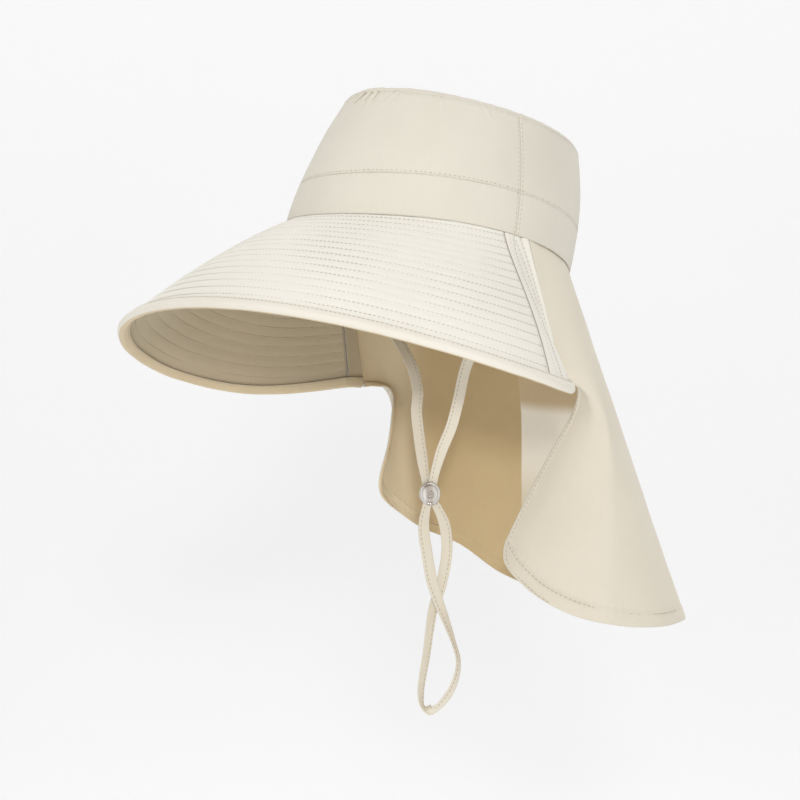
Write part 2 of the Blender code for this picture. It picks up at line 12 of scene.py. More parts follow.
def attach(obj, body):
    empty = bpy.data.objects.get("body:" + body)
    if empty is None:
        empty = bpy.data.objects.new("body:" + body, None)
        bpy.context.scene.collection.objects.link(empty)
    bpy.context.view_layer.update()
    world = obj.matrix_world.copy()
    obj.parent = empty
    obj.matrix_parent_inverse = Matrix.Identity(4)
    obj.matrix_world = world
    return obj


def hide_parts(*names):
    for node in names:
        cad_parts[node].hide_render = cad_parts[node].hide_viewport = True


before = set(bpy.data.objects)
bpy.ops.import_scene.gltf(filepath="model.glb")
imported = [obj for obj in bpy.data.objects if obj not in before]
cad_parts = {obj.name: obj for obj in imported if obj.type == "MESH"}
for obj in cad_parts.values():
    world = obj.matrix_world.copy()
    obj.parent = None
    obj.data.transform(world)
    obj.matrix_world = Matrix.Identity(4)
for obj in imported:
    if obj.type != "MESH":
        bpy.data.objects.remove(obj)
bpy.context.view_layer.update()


# Camera, floor and light.
# A long lens at the height of the brim, a little to the hat's left of its front, a pale studio
# sweep that runs from the floor up behind, and large soft lamps.
VIEW_TURN = math.radians(48.0)
VIEW_DISTANCE = 1.80
VIEW_CENTRE = Vector((-0.01238, -0.01375, -0.0975))
LENS = 122.6


def add_object(name, data):
    """Put a mesh, a lamp or a camera in the scene."""
    item = bpy.data.objects.new(name, data)
    bpy.context.collection.objects.link(item)
    return item


viewer = Vector((math.sin(VIEW_TURN), -math.cos(VIEW_TURN), 0))
view_right = Vector((math.cos(VIEW_TURN), math.sin(VIEW_TURN), 0))
camera_data = bpy.data.cameras.new("camera")
camera_data.sensor_width = 36
camera_data.lens = LENS
camera = add_object("camera", camera_data)
camera.location = VIEW_CENTRE + viewer * VIEW_DISTANCE
camera.rotation_euler = (math.radians(90), 0, VIEW_TURN)
bpy.context.scene.camera = camera
bpy.context.scene.view_settings.view_transform = "Standard"

FLOOR_DROP = 0.62
SWEEP_FRONT = -3.5
SWEEP_HALF_WIDTH = 9.0
SWEEP_DEPTH = 1.6
SWEEP_RADIUS = 1.2
SWEEP_HEIGHT = 3.2
SWEEP_STEPS = 16


def feed(node, inputs):
    """Give each named input of a node a plain value or another node's output."""
    for socket, value in inputs.items():
        if isinstance(value, bpy.types.NodeSocket):
            node.id_data.links.new(value, node.inputs[socket])
        else:
            node.inputs[socket].default_value = value


def add_node(tree, kind, inputs=(), **settings):
    """Add a node with its settings and its inputs."""
    node = tree.nodes.new(kind)
    for name, value in settings.items():
        setattr(node, name, value)
    feed(node, dict(inputs))
    return node


def add_ramp(tree, factor, low, high, name="Ramp"):
    """A colour ramp between two colours, each with its place."""
    ramp = add_node(tree, "ShaderNodeValToRGB", {"Fac": factor}, name=name)
    for stop, (place, colour) in zip(ramp.color_ramp.elements, (low, high)):
        stop.position = place
        stop.color = (*colour, 1)
    return ramp.outputs["Color"]


def new_finish(name):
    """A new material, its nodes and its shader."""
    finish = bpy.data.materials.new(name)
    finish.use_nodes = True
    return finish, finish.node_tree, finish.node_tree.nodes["Principled BSDF"]


def make_sweep():
    """The floor and the wall behind, joined by a wide curve."""
    rows = [(SWEEP_FRONT, 0.0), (SWEEP_DEPTH, 0.0)]
    for step in range(1, SWEEP_STEPS + 1):
        angle = math.radians(90 * step / SWEEP_STEPS)
        rows.append((SWEEP_DEPTH + SWEEP_RADIUS * math.sin(angle),
                     SWEEP_RADIUS * (1 - math.cos(angle))))
    rows.append((SWEEP_DEPTH + SWEEP_RADIUS, SWEEP_HEIGHT))
    points = []
    for back, up in rows:
        middle = viewer * -back + Vector((0, 0, up - FLOOR_DROP))
        points += [middle - view_right * SWEEP_HALF_WIDTH, middle + view_right * SWEEP_HALF_WIDTH]
    faces = [(2 * i, 2 * i + 1, 2 * i + 3, 2 * i + 2) for i in range(len(rows) - 1)]
    mesh = bpy.data.meshes.new("sweep")
    mesh.from_pydata(points, [], faces)
    mesh.shade_smooth()
    paper, tree, shader = new_finish("studio_paper")
    where = add_node(tree, "ShaderNodeTexCoord").outputs["Object"]
    grain = add_node(tree, "ShaderNodeTexNoise", {"Vector": where, "Scale": 3.0})
    tone = add_ramp(tree, grain.outputs["Fac"], (0, (0.900, 0.900, 0.900)),
                    (1, (0.915, 0.915, 0.915)))
    feed(shader, {"Base Color": tone, "Roughness": 0.9, "Specular IOR Level": 0.1,
                  "Emission Color": (1, 1, 1, 1), "Emission Strength": 0.175})
    mesh.materials.append(paper)
    sweep = add_object("sweep", mesh)


make_sweep()

Lamp = namedtuple("Lamp", "name right near up size power")
LAMPS = (
    Lamp("key_lamp", 0.05, 2.10, 0.33, 0.18, 13.5),
    Lamp("top_lamp", -0.30, 0.70, 1.70, 1.6, 7.8),
    Lamp("back_lamp", 0.20, -1.20, 1.10, 1.2, 3.0),
)
for lamp in LAMPS:
    data = bpy.data.lights.new(lamp.name, "AREA")
    data.shape = "DISK"
    data.size = lamp.size
    data.energy = lamp.power
    item = add_object(lamp.name, data)
    item.location = VIEW_CENTRE + view_right * lamp.right + viewer * lamp.near
    item.location.z += lamp.up
    item.rotation_euler = (VIEW_CENTRE - item.location).to_track_quat("-Z", "Y").to_euler()

world = bpy.data.worlds.new("studio")
world.use_nodes = True
feed(world.node_tree.nodes["Background"], {"Color": (1.0, 1.0, 1.0, 1), "Strength": 0.66})
bpy.context.scene.world = world


# Chin strap.
# A narrow self-fabric tape, folded and edge-stitched, sewn inside the crown's band at both ears.
# It is one piece: both runs pass through the slider and the rest hangs below as a twisted loop.
STRAP_WIDTH = 0.0074
STRAP_CLOTH = 0.0012
STRAP_TURN = math.radians(48.0)
STRAP_ROWS = 520
STRAP_SIDES = 20
STRAP_PITCH = 0.0030
STRAP_THREAD_IN = 0.0018

# Its route: along the line turned STRAP_TURN from the hat's left side, towards the viewer and up,
# in metres, then the share of its width that lies open and the turn of its face in degrees.
StrapRow = namedtuple("StrapRow", "across near up open face")
STRAP_ROUTE = (
    StrapRow(0.0574, 0.0637, 0.0150, 1.00, 42),
    StrapRow(0.0568, 0.0631, 0.0020, 1.00, 42),
    StrapRow(0.0495, 0.0550, -0.0200, 1.00, 30),
    StrapRow(0.0375, 0.0416, -0.0480, 1.00, 18),
    StrapRow(0.0251, 0.0278, -0.0740, 1.00, 8),
    StrapRow(0.0191, 0.0190, -0.1000, 1.00, 0),
    StrapRow(0.0152, 0.0130, -0.1150, 1.00, 0),
    StrapRow(0.0092, 0.0070, -0.1300, 0.98, 0),
    StrapRow(0.0045, 0.0022, -0.1460, 0.80, 0),
    StrapRow(0.0022, 0.0011, -0.1593, 0.70, 0),
    StrapRow(-0.0012, 0.0013, -0.1690, 0.80, 0),
    StrapRow(-0.0028, 0.0020, -0.1827, 1.00, 0),
    StrapRow(-0.0004, 0.0028, -0.2005, 1.00, 0),
    StrapRow(0.0024, 0.0034, -0.2164, 1.00, 4),
    StrapRow(0.0069, 0.0040, -0.2302, 0.95, 20),
    StrapRow(0.0112, 0.0044, -0.2415, 0.95, 44),
    StrapRow(0.0168, 0.0044, -0.2573, 0.95, 66),
    StrapRow(0.0200, 0.0038, -0.2700, 1.00, 66),
    StrapRow(0.0175, 0.0024, -0.2840, 1.00, 54),
    StrapRow(0.0115, 0.0008, -0.2950, 1.00, 50),
    StrapRow(0.0040, -0.0006, -0.3020, 1.00, 62),
    StrapRow(-0.0030, -0.0018, -0.3010, 1.00, 72),
    StrapRow(-0.0048, -0.0026, -0.2930, 1.00, 58),
    StrapRow(-0.0036, -0.0032, -0.2810, 1.00, 50),
    StrapRow(-0.0010, -0.0036, -0.2660, 1.00, 46),
    StrapRow(0.0010, -0.0038, -0.2507, 1.00, 42),
    StrapRow(0.0036, -0.0038, -0.2350, 1.00, 30),
    StrapRow(0.0079, -0.0034, -0.2226, 1.00, 10),
    StrapRow(0.0112, -0.0028, -0.2078, 1.00, 0),
    StrapRow(0.0126, -0.0022, -0.1940, 1.00, 0),
    StrapRow(0.0110, -0.0016, -0.1800, 1.00, 0),
    StrapRow(0.0064, -0.0013, -0.1690, 0.80, 0),
    StrapRow(0.0004, -0.0011, -0.1593, 0.70, 0),
    StrapRow(-0.0018, -0.0018, -0.1480, 0.80, 0),
    StrapRow(-0.0036, -0.0030, -0.1371, 0.98, 0),
    StrapRow(-0.0055, -0.0050, -0.1240, 1.00, 0),
    StrapRow(-0.0075, -0.0080, -0.1050, 1.00, 0),
    StrapRow(-0.0068, -0.0090, -0.0910, 1.00, 4),
    StrapRow(-0.0112, -0.0124, -0.0735, 1.00, 12),
    StrapRow(-0.0228, -0.0253, -0.0530, 1.00, 20),
    StrapRow(-0.0400, -0.0444, -0.0300, 1.00, 30),
    StrapRow(-0.0565, -0.0628, -0.0040, 1.00, 42),
    StrapRow(-0.0574, -0.0637, 0.0110, 1.00, 42),
)


def between(rows, key, place, column):
    """Read one column of a table at a place between its rows, on a smooth curve."""
    places = [getattr(row, key) for row in rows]
    values = [getattr(row, column) for row in rows]
    last = len(rows) - 1
    if place <= places[0]:
        return values[0]
    if place >= places[last]:
        return values[last]
    low = max(index for index in range(last) if places[index] <= place)

    def slope(index):
        before = max(index - 1, 0)
        after = min(index + 1, last)
        return (values[after] - values[before]) / (places[after] - places[before])

    span = places[low + 1] - places[low]
    t = (place - places[low]) / span
    start = (2 * t ** 3 - 3 * t ** 2 + 1) * values[low]
    start += (t ** 3 - 2 * t ** 2 + t) * span * slope(low)
    end = (3 * t ** 2 - 2 * t ** 3) * values[low + 1]
    end += (t ** 3 - t ** 2) * span * slope(low + 1)
    return start + end


CLOTH_TONE_SIZE = 14.0
CLOTH_WEAVE = 0.00055
CLOTH_RELIEF = 0.00012
CLOTH_SLUB = 0.00025


def cloth_finish(name, light, dark):
    """Plain-woven cotton: threads both ways on the piece's own UV map, in metres, with slubs,
    a slow drift of tone between two colours and a soft sheen."""
    finish, tree, shader = new_finish(name)
    where = add_node(tree, "ShaderNodeTexCoord").outputs
    drift = add_node(tree, "ShaderNodeTexNoise", {"Vector": where["Object"], "Detail": 4.0,
                                                  "Scale": CLOTH_TONE_SIZE})
    tones = add_ramp(tree, drift.outputs["Fac"], (0.35, dark), (0.65, light), name="Tones")
    threads = []
    for direction in ("X", "Y"):
        wave = add_node(tree, "ShaderNodeTexWave",
                        {"Vector": where["UV"], "Scale": 0.314 / CLOTH_WEAVE, "Distortion": 1.2,
                         "Detail": 1.0}, wave_type="BANDS", bands_direction=direction)
        threads.append(wave.outputs["Fac"])
    crossing = add_node(tree, "ShaderNodeMath", {0: threads[0], 1: threads[1]},
                        operation="MAXIMUM").outputs["Value"]
    slubs = add_node(tree, "ShaderNodeTexNoise", {"Vector": where["UV"], "Scale": 420.0,
                                                  "Detail": 3.0})
    shade = add_node(tree, "ShaderNodeMix", {"Factor": 0.10, 6: tones, 7: crossing},
                     name="Shade", data_type="RGBA", blend_type="MULTIPLY")
    fine = add_node(tree, "ShaderNodeBump", {"Strength": 0.5, "Distance": CLOTH_RELIEF,
                                             "Height": crossing})
    rough = add_node(tree, "ShaderNodeBump", {"Strength": 0.5, "Distance": CLOTH_SLUB,
                                              "Height": slubs.outputs["Fac"],
                                              "Normal": fine.outputs["Normal"]})
    feed(shader, {"Base Color": shade.outputs[2], "Roughness": 0.88, "Specular IOR Level": 0.25,
                  "Sheen Weight": 0.25, "Sheen Roughness": 0.45,
                  "Sheen Tint": (1.0, 0.97, 0.90, 1), "Normal": rough.outputs["Normal"]})
    return finish


def thread_finish(name, colour):
    """Sewing thread: a fine twist along its length and a soft shine."""
    finish, tree, shader = new_finish(name)
    where = add_node(tree, "ShaderNodeTexCoord").outputs["Object"]
    fibres = add_node(tree, "ShaderNodeTexNoise", {"Vector": where, "Scale": 900.0}).outputs["Fac"]
    tones = add_ramp(tree, fibres, (0, [0.86 * part for part in colour]), (1, colour))
    bump = add_node(tree, "ShaderNodeBump", {"Distance": 0.00005, "Height": fibres})
    feed(shader, {"Base Color": tones, "Roughness": 0.55, "Sheen Weight": 0.2,
                  "Normal": bump.outputs["Normal"]})
    return finish


def stitching_tree():
    """Geometry nodes that lay one rounded stitch after another along every line of a mesh."""
    tree = bpy.data.node_groups.new("stitching", "GeometryNodeTree")
    for name, kind in (("Lines", "Geometry"), ("Pitch", "Float"), ("Stitch length", "Float"),
                       ("Thread radius", "Float"), ("Thread", "Material")):
        tree.interface.new_socket(name, in_out="INPUT", socket_type="NodeSocket" + kind)
    tree.interface.new_socket("Stitches", in_out="OUTPUT", socket_type="NodeSocketGeometry")
    given = add_node(tree, "NodeGroupInput").outputs
    curve = add_node(tree, "GeometryNodeMeshToCurve", {"Mesh": given["Lines"]})
    spaced = add_node(tree, "GeometryNodeResampleCurve",
                      {"Curve": curve.outputs["Curve"], "Length": given["Pitch"]}, mode="LENGTH")
    bead = add_node(tree, "GeometryNodeMeshUVSphere", {"Segments": 5, "Rings": 4, "Radius": 1.0})
    half = add_node(tree, "ShaderNodeMath", {0: given["Stitch length"], 1: 0.5},
                    operation="MULTIPLY")
    size = add_node(tree, "ShaderNodeCombineXYZ",
                    {"X": given["Thread radius"], "Y": given["Thread radius"],
                     "Z": half.outputs["Value"]})
    shaped = add_node(tree, "GeometryNodeTransform",
                      {"Geometry": bead.outputs["Mesh"], "Scale": size.outputs["Vector"]})
    tangent = add_node(tree, "GeometryNodeInputTangent")
    turned = add_node(tree, "FunctionNodeAlignRotationToVector",
                      {"Vector": tangent.outputs["Tangent"]}, axis="Z")
    placed = add_node(tree, "GeometryNodeInstanceOnPoints",
                      {"Points": spaced.outputs["Curve"], "Instance": shaped.outputs["Geometry"],
                       "Rotation": turned.outputs["Rotation"]})
    real = add_node(tree, "GeometryNodeRealizeInstances",
                    {"Geometry": placed.outputs["Instances"]})
    dyed = add_node(tree, "GeometryNodeSetMaterial",
                    {"Geometry": real.outputs["Geometry"], "Material": given["Thread"]})
    add_node(tree, "NodeGroupOutput", {"Stitches": dyed.outputs["Geometry"]})
    return tree


STITCHING = stitching_tree()


def sew(name, lines, thread, pitch, length, radius):
    """Stitches along lines of points, as one plain mesh that rides with the hat."""
    points = []
    edges = []
    for line in lines:
        first = len(points)
        points += [tuple(point) for point in line]
        edges += [(index, index + 1) for index in range(first, len(points) - 1)]
    guide = bpy.data.meshes.new(name)
    guide.from_pydata(points, edges, [])
    item = add_object(name, guide)
    sewing = item.modifiers.new("Sewing", "NODES")
    sewing.node_group = STITCHING
    values = {"Pitch": pitch, "Stitch length": length, "Thread radius": radius, "Thread": thread}
    for socket in STITCHING.interface.items_tree:
        if socket.name in values:
            sewing[socket.identifier] = values[socket.name]
    item.update_tag()
    seen = item.evaluated_get(bpy.context.evaluated_depsgraph_get())
    finished = bpy.data.meshes.new_from_object(seen)
    item.modifiers.clear()
    item.data = finished
    finished.name = name
    finished.shade_smooth()
    bpy.data.meshes.remove(guide)
    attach(item, "root")
    return item


strap_across = Vector((math.cos(STRAP_TURN), math.sin(STRAP_TURN), 0))
strap_near = Vector((math.sin(STRAP_TURN), -math.cos(STRAP_TURN), 0))
StrapPlace = namedtuple("StrapPlace", "place across near up open face")


def strap_table():
    """The route with each row's share of the whole length."""
    lengths = [0.0]
    for before, after in zip(STRAP_ROUTE, STRAP_ROUTE[1:]):
        lengths.append(lengths[-1] + (Vector(after[:3]) - Vector(before[:3])).length)
    return [StrapPlace(length / lengths[-1], *row) for length, row in zip(lengths, STRAP_ROUTE)]


STRAP_TABLE = strap_table()


def strap_centre(place):
    """The middle of the strap at a share of its route, with its openness and facing."""
    row = StrapRow(*(between(STRAP_TABLE, "place", place, column) for column in StrapRow._fields))
    middle = strap_across * row.across + strap_near * row.near + Vector((0, 0, row.up))
    return middle, row


def strap_frames():
    """Centre, side and facing of the tape at each step of its length."""
    centres = [strap_centre(step / STRAP_ROWS) for step in range(STRAP_ROWS + 1)]
    frames = []
    for step, (middle, row) in enumerate(centres):
        after = centres[min(step + 1, STRAP_ROWS)][0]
        before = centres[max(step - 1, 0)][0]
        along = (after - before).normalized()
        face = math.radians(row.face)
        facing = strap_near * math.cos(face) + strap_across * math.sin(face)
        side = along.cross(facing).normalized()
        frames.append((middle, side, side.cross(along).normalized(), row.open))
    return frames


def add_shape(name, shape, *finishes):
    """Put a bmesh in the scene as a smooth mesh with its materials."""
    mesh = bpy.data.meshes.new(name)
    shape.to_mesh(mesh)
    shape.free()
    mesh.shade_smooth()
    for finish in finishes:
        mesh.materials.append(finish)
    return add_object(name, mesh)


def soft_box(angle, power_x, power_y):
    """A point round a soft-cornered box from -1 to 1. Two powers of 1 would give a circle."""
    x, y = math.cos(angle), math.sin(angle)
    return math.copysign(abs(x) ** power_x, x), math.copysign(abs(y) ** power_y, y)


def make_tube(name, rings, spot, *finishes):
    """A tube through rings of points, closed at both ends.

    spot(turn, run) gives a corner's place on the UV map, from its number round the ring and its
    ring's number. A second material covers the second half of every ring.
    """
    tube = bmesh.new()
    maps = tube.loops.layers.uv.new("cloth")
    rings = [[tube.verts.new(point) for point in ring] for ring in rings]
    sides = len(rings[0])
    for run, (lower, upper) in enumerate(zip(rings, rings[1:])):
        for turn in range(sides):
            after = (turn + 1) % sides
            face = tube.faces.new((lower[turn], lower[after], upper[after], upper[turn]))
            face.material_index = 1 if len(finishes) > 1 and turn >= sides * 0.5 else 0
            around = ((turn, run), (turn + 1, run), (turn + 1, run + 1), (turn, run + 1))
            for loop, corner in zip(face.loops, around):
                loop[maps].uv = spot(*corner)
    tube.faces.new(rings[0])
    tube.faces.new(rings[-1])
    bmesh.ops.recalc_face_normals(tube, faces=tube.faces)
    return add_shape(name, tube, *finishes)


def make_strap():
    """A folded tape with round edges, thinner in the middle than at its turned edges."""
    rings = []
    path = []
    runs = [0.0]
    for middle, side, facing, spread in strap_frames():
        if path:
            runs.append(runs[-1] + (middle - path[-1]).length)
        path.append(middle)
        ring = []
        for corner in range(STRAP_SIDES):
            x, y = soft_box(2 * math.pi * corner / STRAP_SIDES, 0.55, 0.75)
            edge = 0.82 + 0.18 * abs(x) ** 3
            ring.append(middle + side * x * (STRAP_WIDTH / 2 * spread)
                        + facing * y * edge * STRAP_CLOTH / 2)
        rings.append(ring)
    cotton = cloth_finish("strap_cotton", (0.78, 0.72, 0.60), (0.74, 0.68, 0.56))
    around = 2 * STRAP_WIDTH / STRAP_SIDES
    item = make_tube("strap_tape", rings, lambda turn, run: (turn * around, runs[run]), cotton)
    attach(item, "root")
    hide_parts("chin_strap")
    return item, path, runs[-1]


strap, strap_path, strap_length = make_strap()
strap_thread = thread_finish("strap_thread", (0.45, 0.38, 0.27))
stitch_lines = [[], []]
for middle, side, facing, spread in strap_frames()[6:-6]:
    sideways = side * (STRAP_WIDTH / 2 * spread - STRAP_THREAD_IN)
    stitch_lines[0].append(middle + sideways + facing * STRAP_CLOTH * 0.46)
    stitch_lines[1].append(middle + sideways - facing * STRAP_CLOTH * 0.46)
strap_stitches = sew("strap_stitches", stitch_lines, strap_thread,
                     pitch=STRAP_PITCH, length=0.0021, radius=0.00022)


# Slider.
# A small clear moulded bead with a raised rim round a domed face. Both runs of the strap pass
# down through it, and it grips them by friction.
SLIDER_ACROSS = 0.0013
SLIDER_DROP = 0.1593
SLIDER_WIDTH = 0.0142
SLIDER_HEIGHT = 0.0158
SLIDER_SIDES = 56
SLIDER_STEPS = 60

# Its face from the middle out to the rim and round to the back: share of the radius, and how far
# the surface stands towards the viewer, in metres.
SliderRow = namedtuple("SliderRow", "place out near")
SLIDER_ROWS = (
    SliderRow(0, 0.00, 0.0046),
    SliderRow(1, 0.14, 0.0052),
    SliderRow(2, 0.26, 0.0044),
    SliderRow(3, 0.36, 0.0047),
    SliderRow(4, 0.52, 0.0050),
    SliderRow(5, 0.68, 0.0046),
    SliderRow(6, 0.78, 0.0036),
    SliderRow(7, 0.84, 0.0034),
    SliderRow(8, 0.92, 0.0038),
    SliderRow(9, 0.98, 0.0028),
    SliderRow(10, 1.00, 0.0010),
    SliderRow(11, 1.00, -0.0010),
    SliderRow(12, 0.94, -0.0034),
    SliderRow(13, 0.74, -0.0050),
    SliderRow(14, 0.40, -0.0057),
    SliderRow(15, 0.00, -0.0060),
)


def make_slider():
    """The bead, turned round the line to the viewer, a little taller than wide."""
    middle = strap_across * SLIDER_ACROSS + Vector((0, 0, -SLIDER_DROP))
    bead = bmesh.new()
    maps = bead.loops.layers.uv.new("disc")
    spots = {}
    rings = []
    for step in range(SLIDER_STEPS + 1):
        place = SLIDER_ROWS[-1].place * step / SLIDER_STEPS
        out = between(SLIDER_ROWS, "place", place, "out")
        forward = between(SLIDER_ROWS, "place", place, "near")
        ring = []
        for corner in range(SLIDER_SIDES):
            angle = 2 * math.pi * corner / SLIDER_SIDES
            ring.append(bead.verts.new(
                middle + strap_near * forward
                + strap_across * (out * SLIDER_WIDTH / 2 * math.cos(angle))
                + Vector((0, 0, out * SLIDER_HEIGHT / 2 * math.sin(angle)))))
            spots[ring[-1]] = (out * math.cos(angle), out * math.sin(angle))
        rings.append(ring)
    for lower, upper in zip(rings, rings[1:]):
        for corner in range(SLIDER_SIDES):
            after = (corner + 1) % SLIDER_SIDES
            face = bead.faces.new((lower[corner], lower[after], upper[after], upper[corner]))
            for loop in face.loops:
                loop[maps].uv = spots[loop.vert]
    bmesh.ops.remove_doubles(bead, verts=bead.verts, dist=0.00001)
    bmesh.ops.recalc_face_normals(bead, faces=bead.faces)
    item = add_shape("slider_bead", bead, clear_plastic())
    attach(item, "root")
    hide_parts("strap_slider")
    return item


def clear_plastic():
    """Clear plastic with a dark line round its face, a darker rim and a faint swirl."""
    plastic, tree, shader = new_finish("clear_plastic")
    where = add_node(tree, "ShaderNodeTexCoord").outputs["UV"]
    radius = add_node(tree, "ShaderNodeVectorMath", {0: where}, operation="LENGTH")
    rings = add_node(tree, "ShaderNodeValToRGB", {"Fac": radius.outputs["Value"]})
    for place, grey in ((0.0, 0.95), (0.60, 0.98), (0.68, 0.90), (0.73, 0.50), (0.78, 0.95),
                        (0.90, 0.93), (0.96, 0.42), (1.0, 0.36)):
        stop = rings.color_ramp.elements.new(place)
        stop.color = (grey, grey * (0.86 + 0.13 * grey), grey * (0.76 + 0.21 * grey), 1)
    swirl = add_node(tree, "ShaderNodeTexWave",
                     {"Vector": where, "Scale": 0.30, "Distortion": 7.0, "Detail": 1.0},
                     wave_type="BANDS", bands_direction="DIAGONAL").outputs["Fac"]
    clouds = add_ramp(tree, swirl, (0.10, (0.50, 0.42, 0.36)), (0.38, (1.0, 1.0, 1.0)))
    tinted = add_node(tree, "ShaderNodeMix",
                      {"Factor": 0.8, 6: rings.outputs["Color"], 7: clouds},
                      data_type="RGBA", blend_type="MULTIPLY")
    haze = add_node(tree, "ShaderNodeMapRange", {"Value": swirl, "To Min": 0.05, "To Max": 0.16})
    feed(shader, {"Base Color": tinted.outputs[2], "Roughness": haze.outputs["Result"],
                  "Transmission Weight": 0.30, "IOR": 1.46, "Coat Weight": 0.8,
                  "Coat Roughness": 0.03})
    return plastic


slider = make_slider()


# Crown.
# Five cotton panels: an oval tip, a front and a back side panel, and a front and a back band
# under a top-stitched seam. The panels meet in pressed-open seams, and the tip is eased in with
# a few small pleats.
CROWN_HALF_WIDTH = 0.0890
CROWN_HALF_LENGTH = 0.0995
CROWN_HEIGHT = 0.0953
TOP_HALF_WIDTH = 0.0715
TOP_HALF_LENGTH = 0.0865
TOP_SHIFT_BACK = 0.0130
TOP_TILT = 0.0020
CROWN_BELLY = 0.0035
SIDE_RISE = 0.0060
SHOULDER_RADIUS = 0.0075
SHOULDER_START = 10.0
SHOULDER_END = 84.0
TIP_RISE = 0.0035
BAND_HEIGHT = 0.0305
BAND_DIP = 0.0036
LEAN = math.radians(12.0)
SEAM_TURN_LOW = 86.0
SEAM_TURN_TOP = 80.0
SEAM_GAP = 0.0003
CROWN_CLOTH = 0.0012
TIP_SEAM = 1.30
SHOWN_GAP = 0.00006
SEAM_DIP = 0.00016
SEAM_SPREAD = 0.0012
PUCKER = 0.00016
PUCKER_STEP = 0.0041
PUCKER_SPREAD = 0.004
PANEL_WIDTH = 0.29
WALL_HEIGHT = CROWN_HEIGHT - TIP_RISE - SHOULDER_RADIUS

# Pleats that ease the tip seam: the turn each lies at, its slant in degrees over PLEAT_SLANT_OVER,
# and its depth. Lengths are in metres.
PLEAT_SLANT_OVER = 0.012
PLEAT_FADE = 0.009
PLEAT_LENGTH = 0.0066
TIP_SEAM_RADIUS = 0.079
PleatRow = namedtuple("PleatRow", "turn slant depth")
PLEATS = (
    PleatRow(-13, -9, 0.0006),
    PleatRow(-4, -8, 0.0012),
    PleatRow(1, -3, 0.0010),
    PleatRow(6, -2, 0.0012),
    PleatRow(19, -6, 0.0005),
    PleatRow(40, 5, 0.0005),
    PleatRow(62, 4, 0.0004),
    PleatRow(152, 6, 0.0007),
    PleatRow(171, -5, 0.0008),
    PleatRow(193, 6, 0.0007),
    PleatRow(214, -5, 0.0005),
)


def lean_back(point):
    """Turn a point of the upright hat to where it lies on the head."""
    x, y, z = point
    return Vector((x,
                   y * math.cos(LEAN) + z * math.sin(LEAN),
                   z * math.cos(LEAN) - y * math.sin(LEAN)))


def head_line(turn, inset=0.0, lower=0.0):
    """The crown's lower rim in the upright hat. It rises a little at the two sides."""
    angle = math.radians(turn)
    return Vector(((CROWN_HALF_WIDTH - inset) * math.sin(angle),
                   -(CROWN_HALF_LENGTH - inset) * math.cos(angle),
                   SIDE_RISE * math.sin(angle) ** 2 - lower))


def crown_wall(height, turn):
    """The crown's outer face from the head line, 0, up to the shoulder, 1."""
    angle = math.radians(turn)
    belly = CROWN_BELLY * 4 * height * (1 - height)
    half_width = CROWN_HALF_WIDTH + (TOP_HALF_WIDTH - CROWN_HALF_WIDTH) * height + belly
    half_length = CROWN_HALF_LENGTH + (TOP_HALF_LENGTH - CROWN_HALF_LENGTH) * height + belly
    rise = SIDE_RISE * math.sin(angle) ** 2 * (1 - height)
    rise += (WALL_HEIGHT + TOP_TILT * math.cos(angle)) * height
    return Vector((half_width * math.sin(angle),
                   TOP_SHIFT_BACK * height - half_length * math.cos(angle),
                   rise))


def crown_point(along, turn):
    """The whole crown: wall from 0 to 1, rounded shoulder from 1 to 2, tip from 2 to 3."""
    if along <= 1:
        return lean_back(crown_wall(along, turn))
    angle = math.radians(turn)
    outward = Vector((math.sin(angle), -math.cos(angle), 0))
    bend = math.radians(SHOULDER_START + (SHOULDER_END - SHOULDER_START) * (min(along, 2) - 1))
    first = math.radians(SHOULDER_START)
    inward = SHOULDER_RADIUS * (math.cos(first) - math.cos(bend))
    upward = SHOULDER_RADIUS * (math.sin(bend) - math.sin(first))
    rim = crown_wall(1, turn) - outward * inward + Vector((0, 0, upward))
    if along <= 2:
        return lean_back(rim)
    centre = Vector((0, TOP_SHIFT_BACK, rim.z - TOP_TILT * math.cos(angle)))
    inside = along - 2
    point = centre + (rim - centre) * (1 - inside)
    point.z += TIP_RISE * (1 - (1 - inside) ** 2)
    return lean_back(point)


def seam_turn(along):
    """The side seam's turn, which comes forward a little towards the top."""
    return SEAM_TURN_LOW + (SEAM_TURN_TOP - SEAM_TURN_LOW) * min(along, 1)


def band_seam(turn):
    """The height of the seam over the band, which lies lowest at the front's right."""
    return (BAND_HEIGHT - BAND_DIP * (1 - math.sin(math.radians(turn)))) / WALL_HEIGHT


def softly(distance, spread):
    """A smooth rise from 0 at a seam to 1 well away from it."""
    return 1 - near(distance, spread)


def near(distance, spread):
    """A smooth bump: 1 at a line and 0 well away from it."""
    return np.exp(-(distance / spread) ** 2)


def from_pleat(pleat, turn, below):
    """How far beside a pleat's fold a place lies, in metres, at a depth below the tip seam."""
    centre = pleat.turn + pleat.slant * below / PLEAT_SLANT_OVER
    return np.abs((turn - centre + 180) % 360 - 180) * math.radians(TIP_SEAM_RADIUS)


def slow_waves(points, size, seed):
    """Uneven swells of cloth, from -1 to 1, at the given size in metres."""
    flat = points.reshape(-1, 3)
    shift = Vector((seed, 2 * seed, -seed))
    swell = [noise.noise(Vector(point) / size + shift) for point in flat]
    return np.array(swell).reshape(points.shape[:2])


LOW_SHARE = 0.46


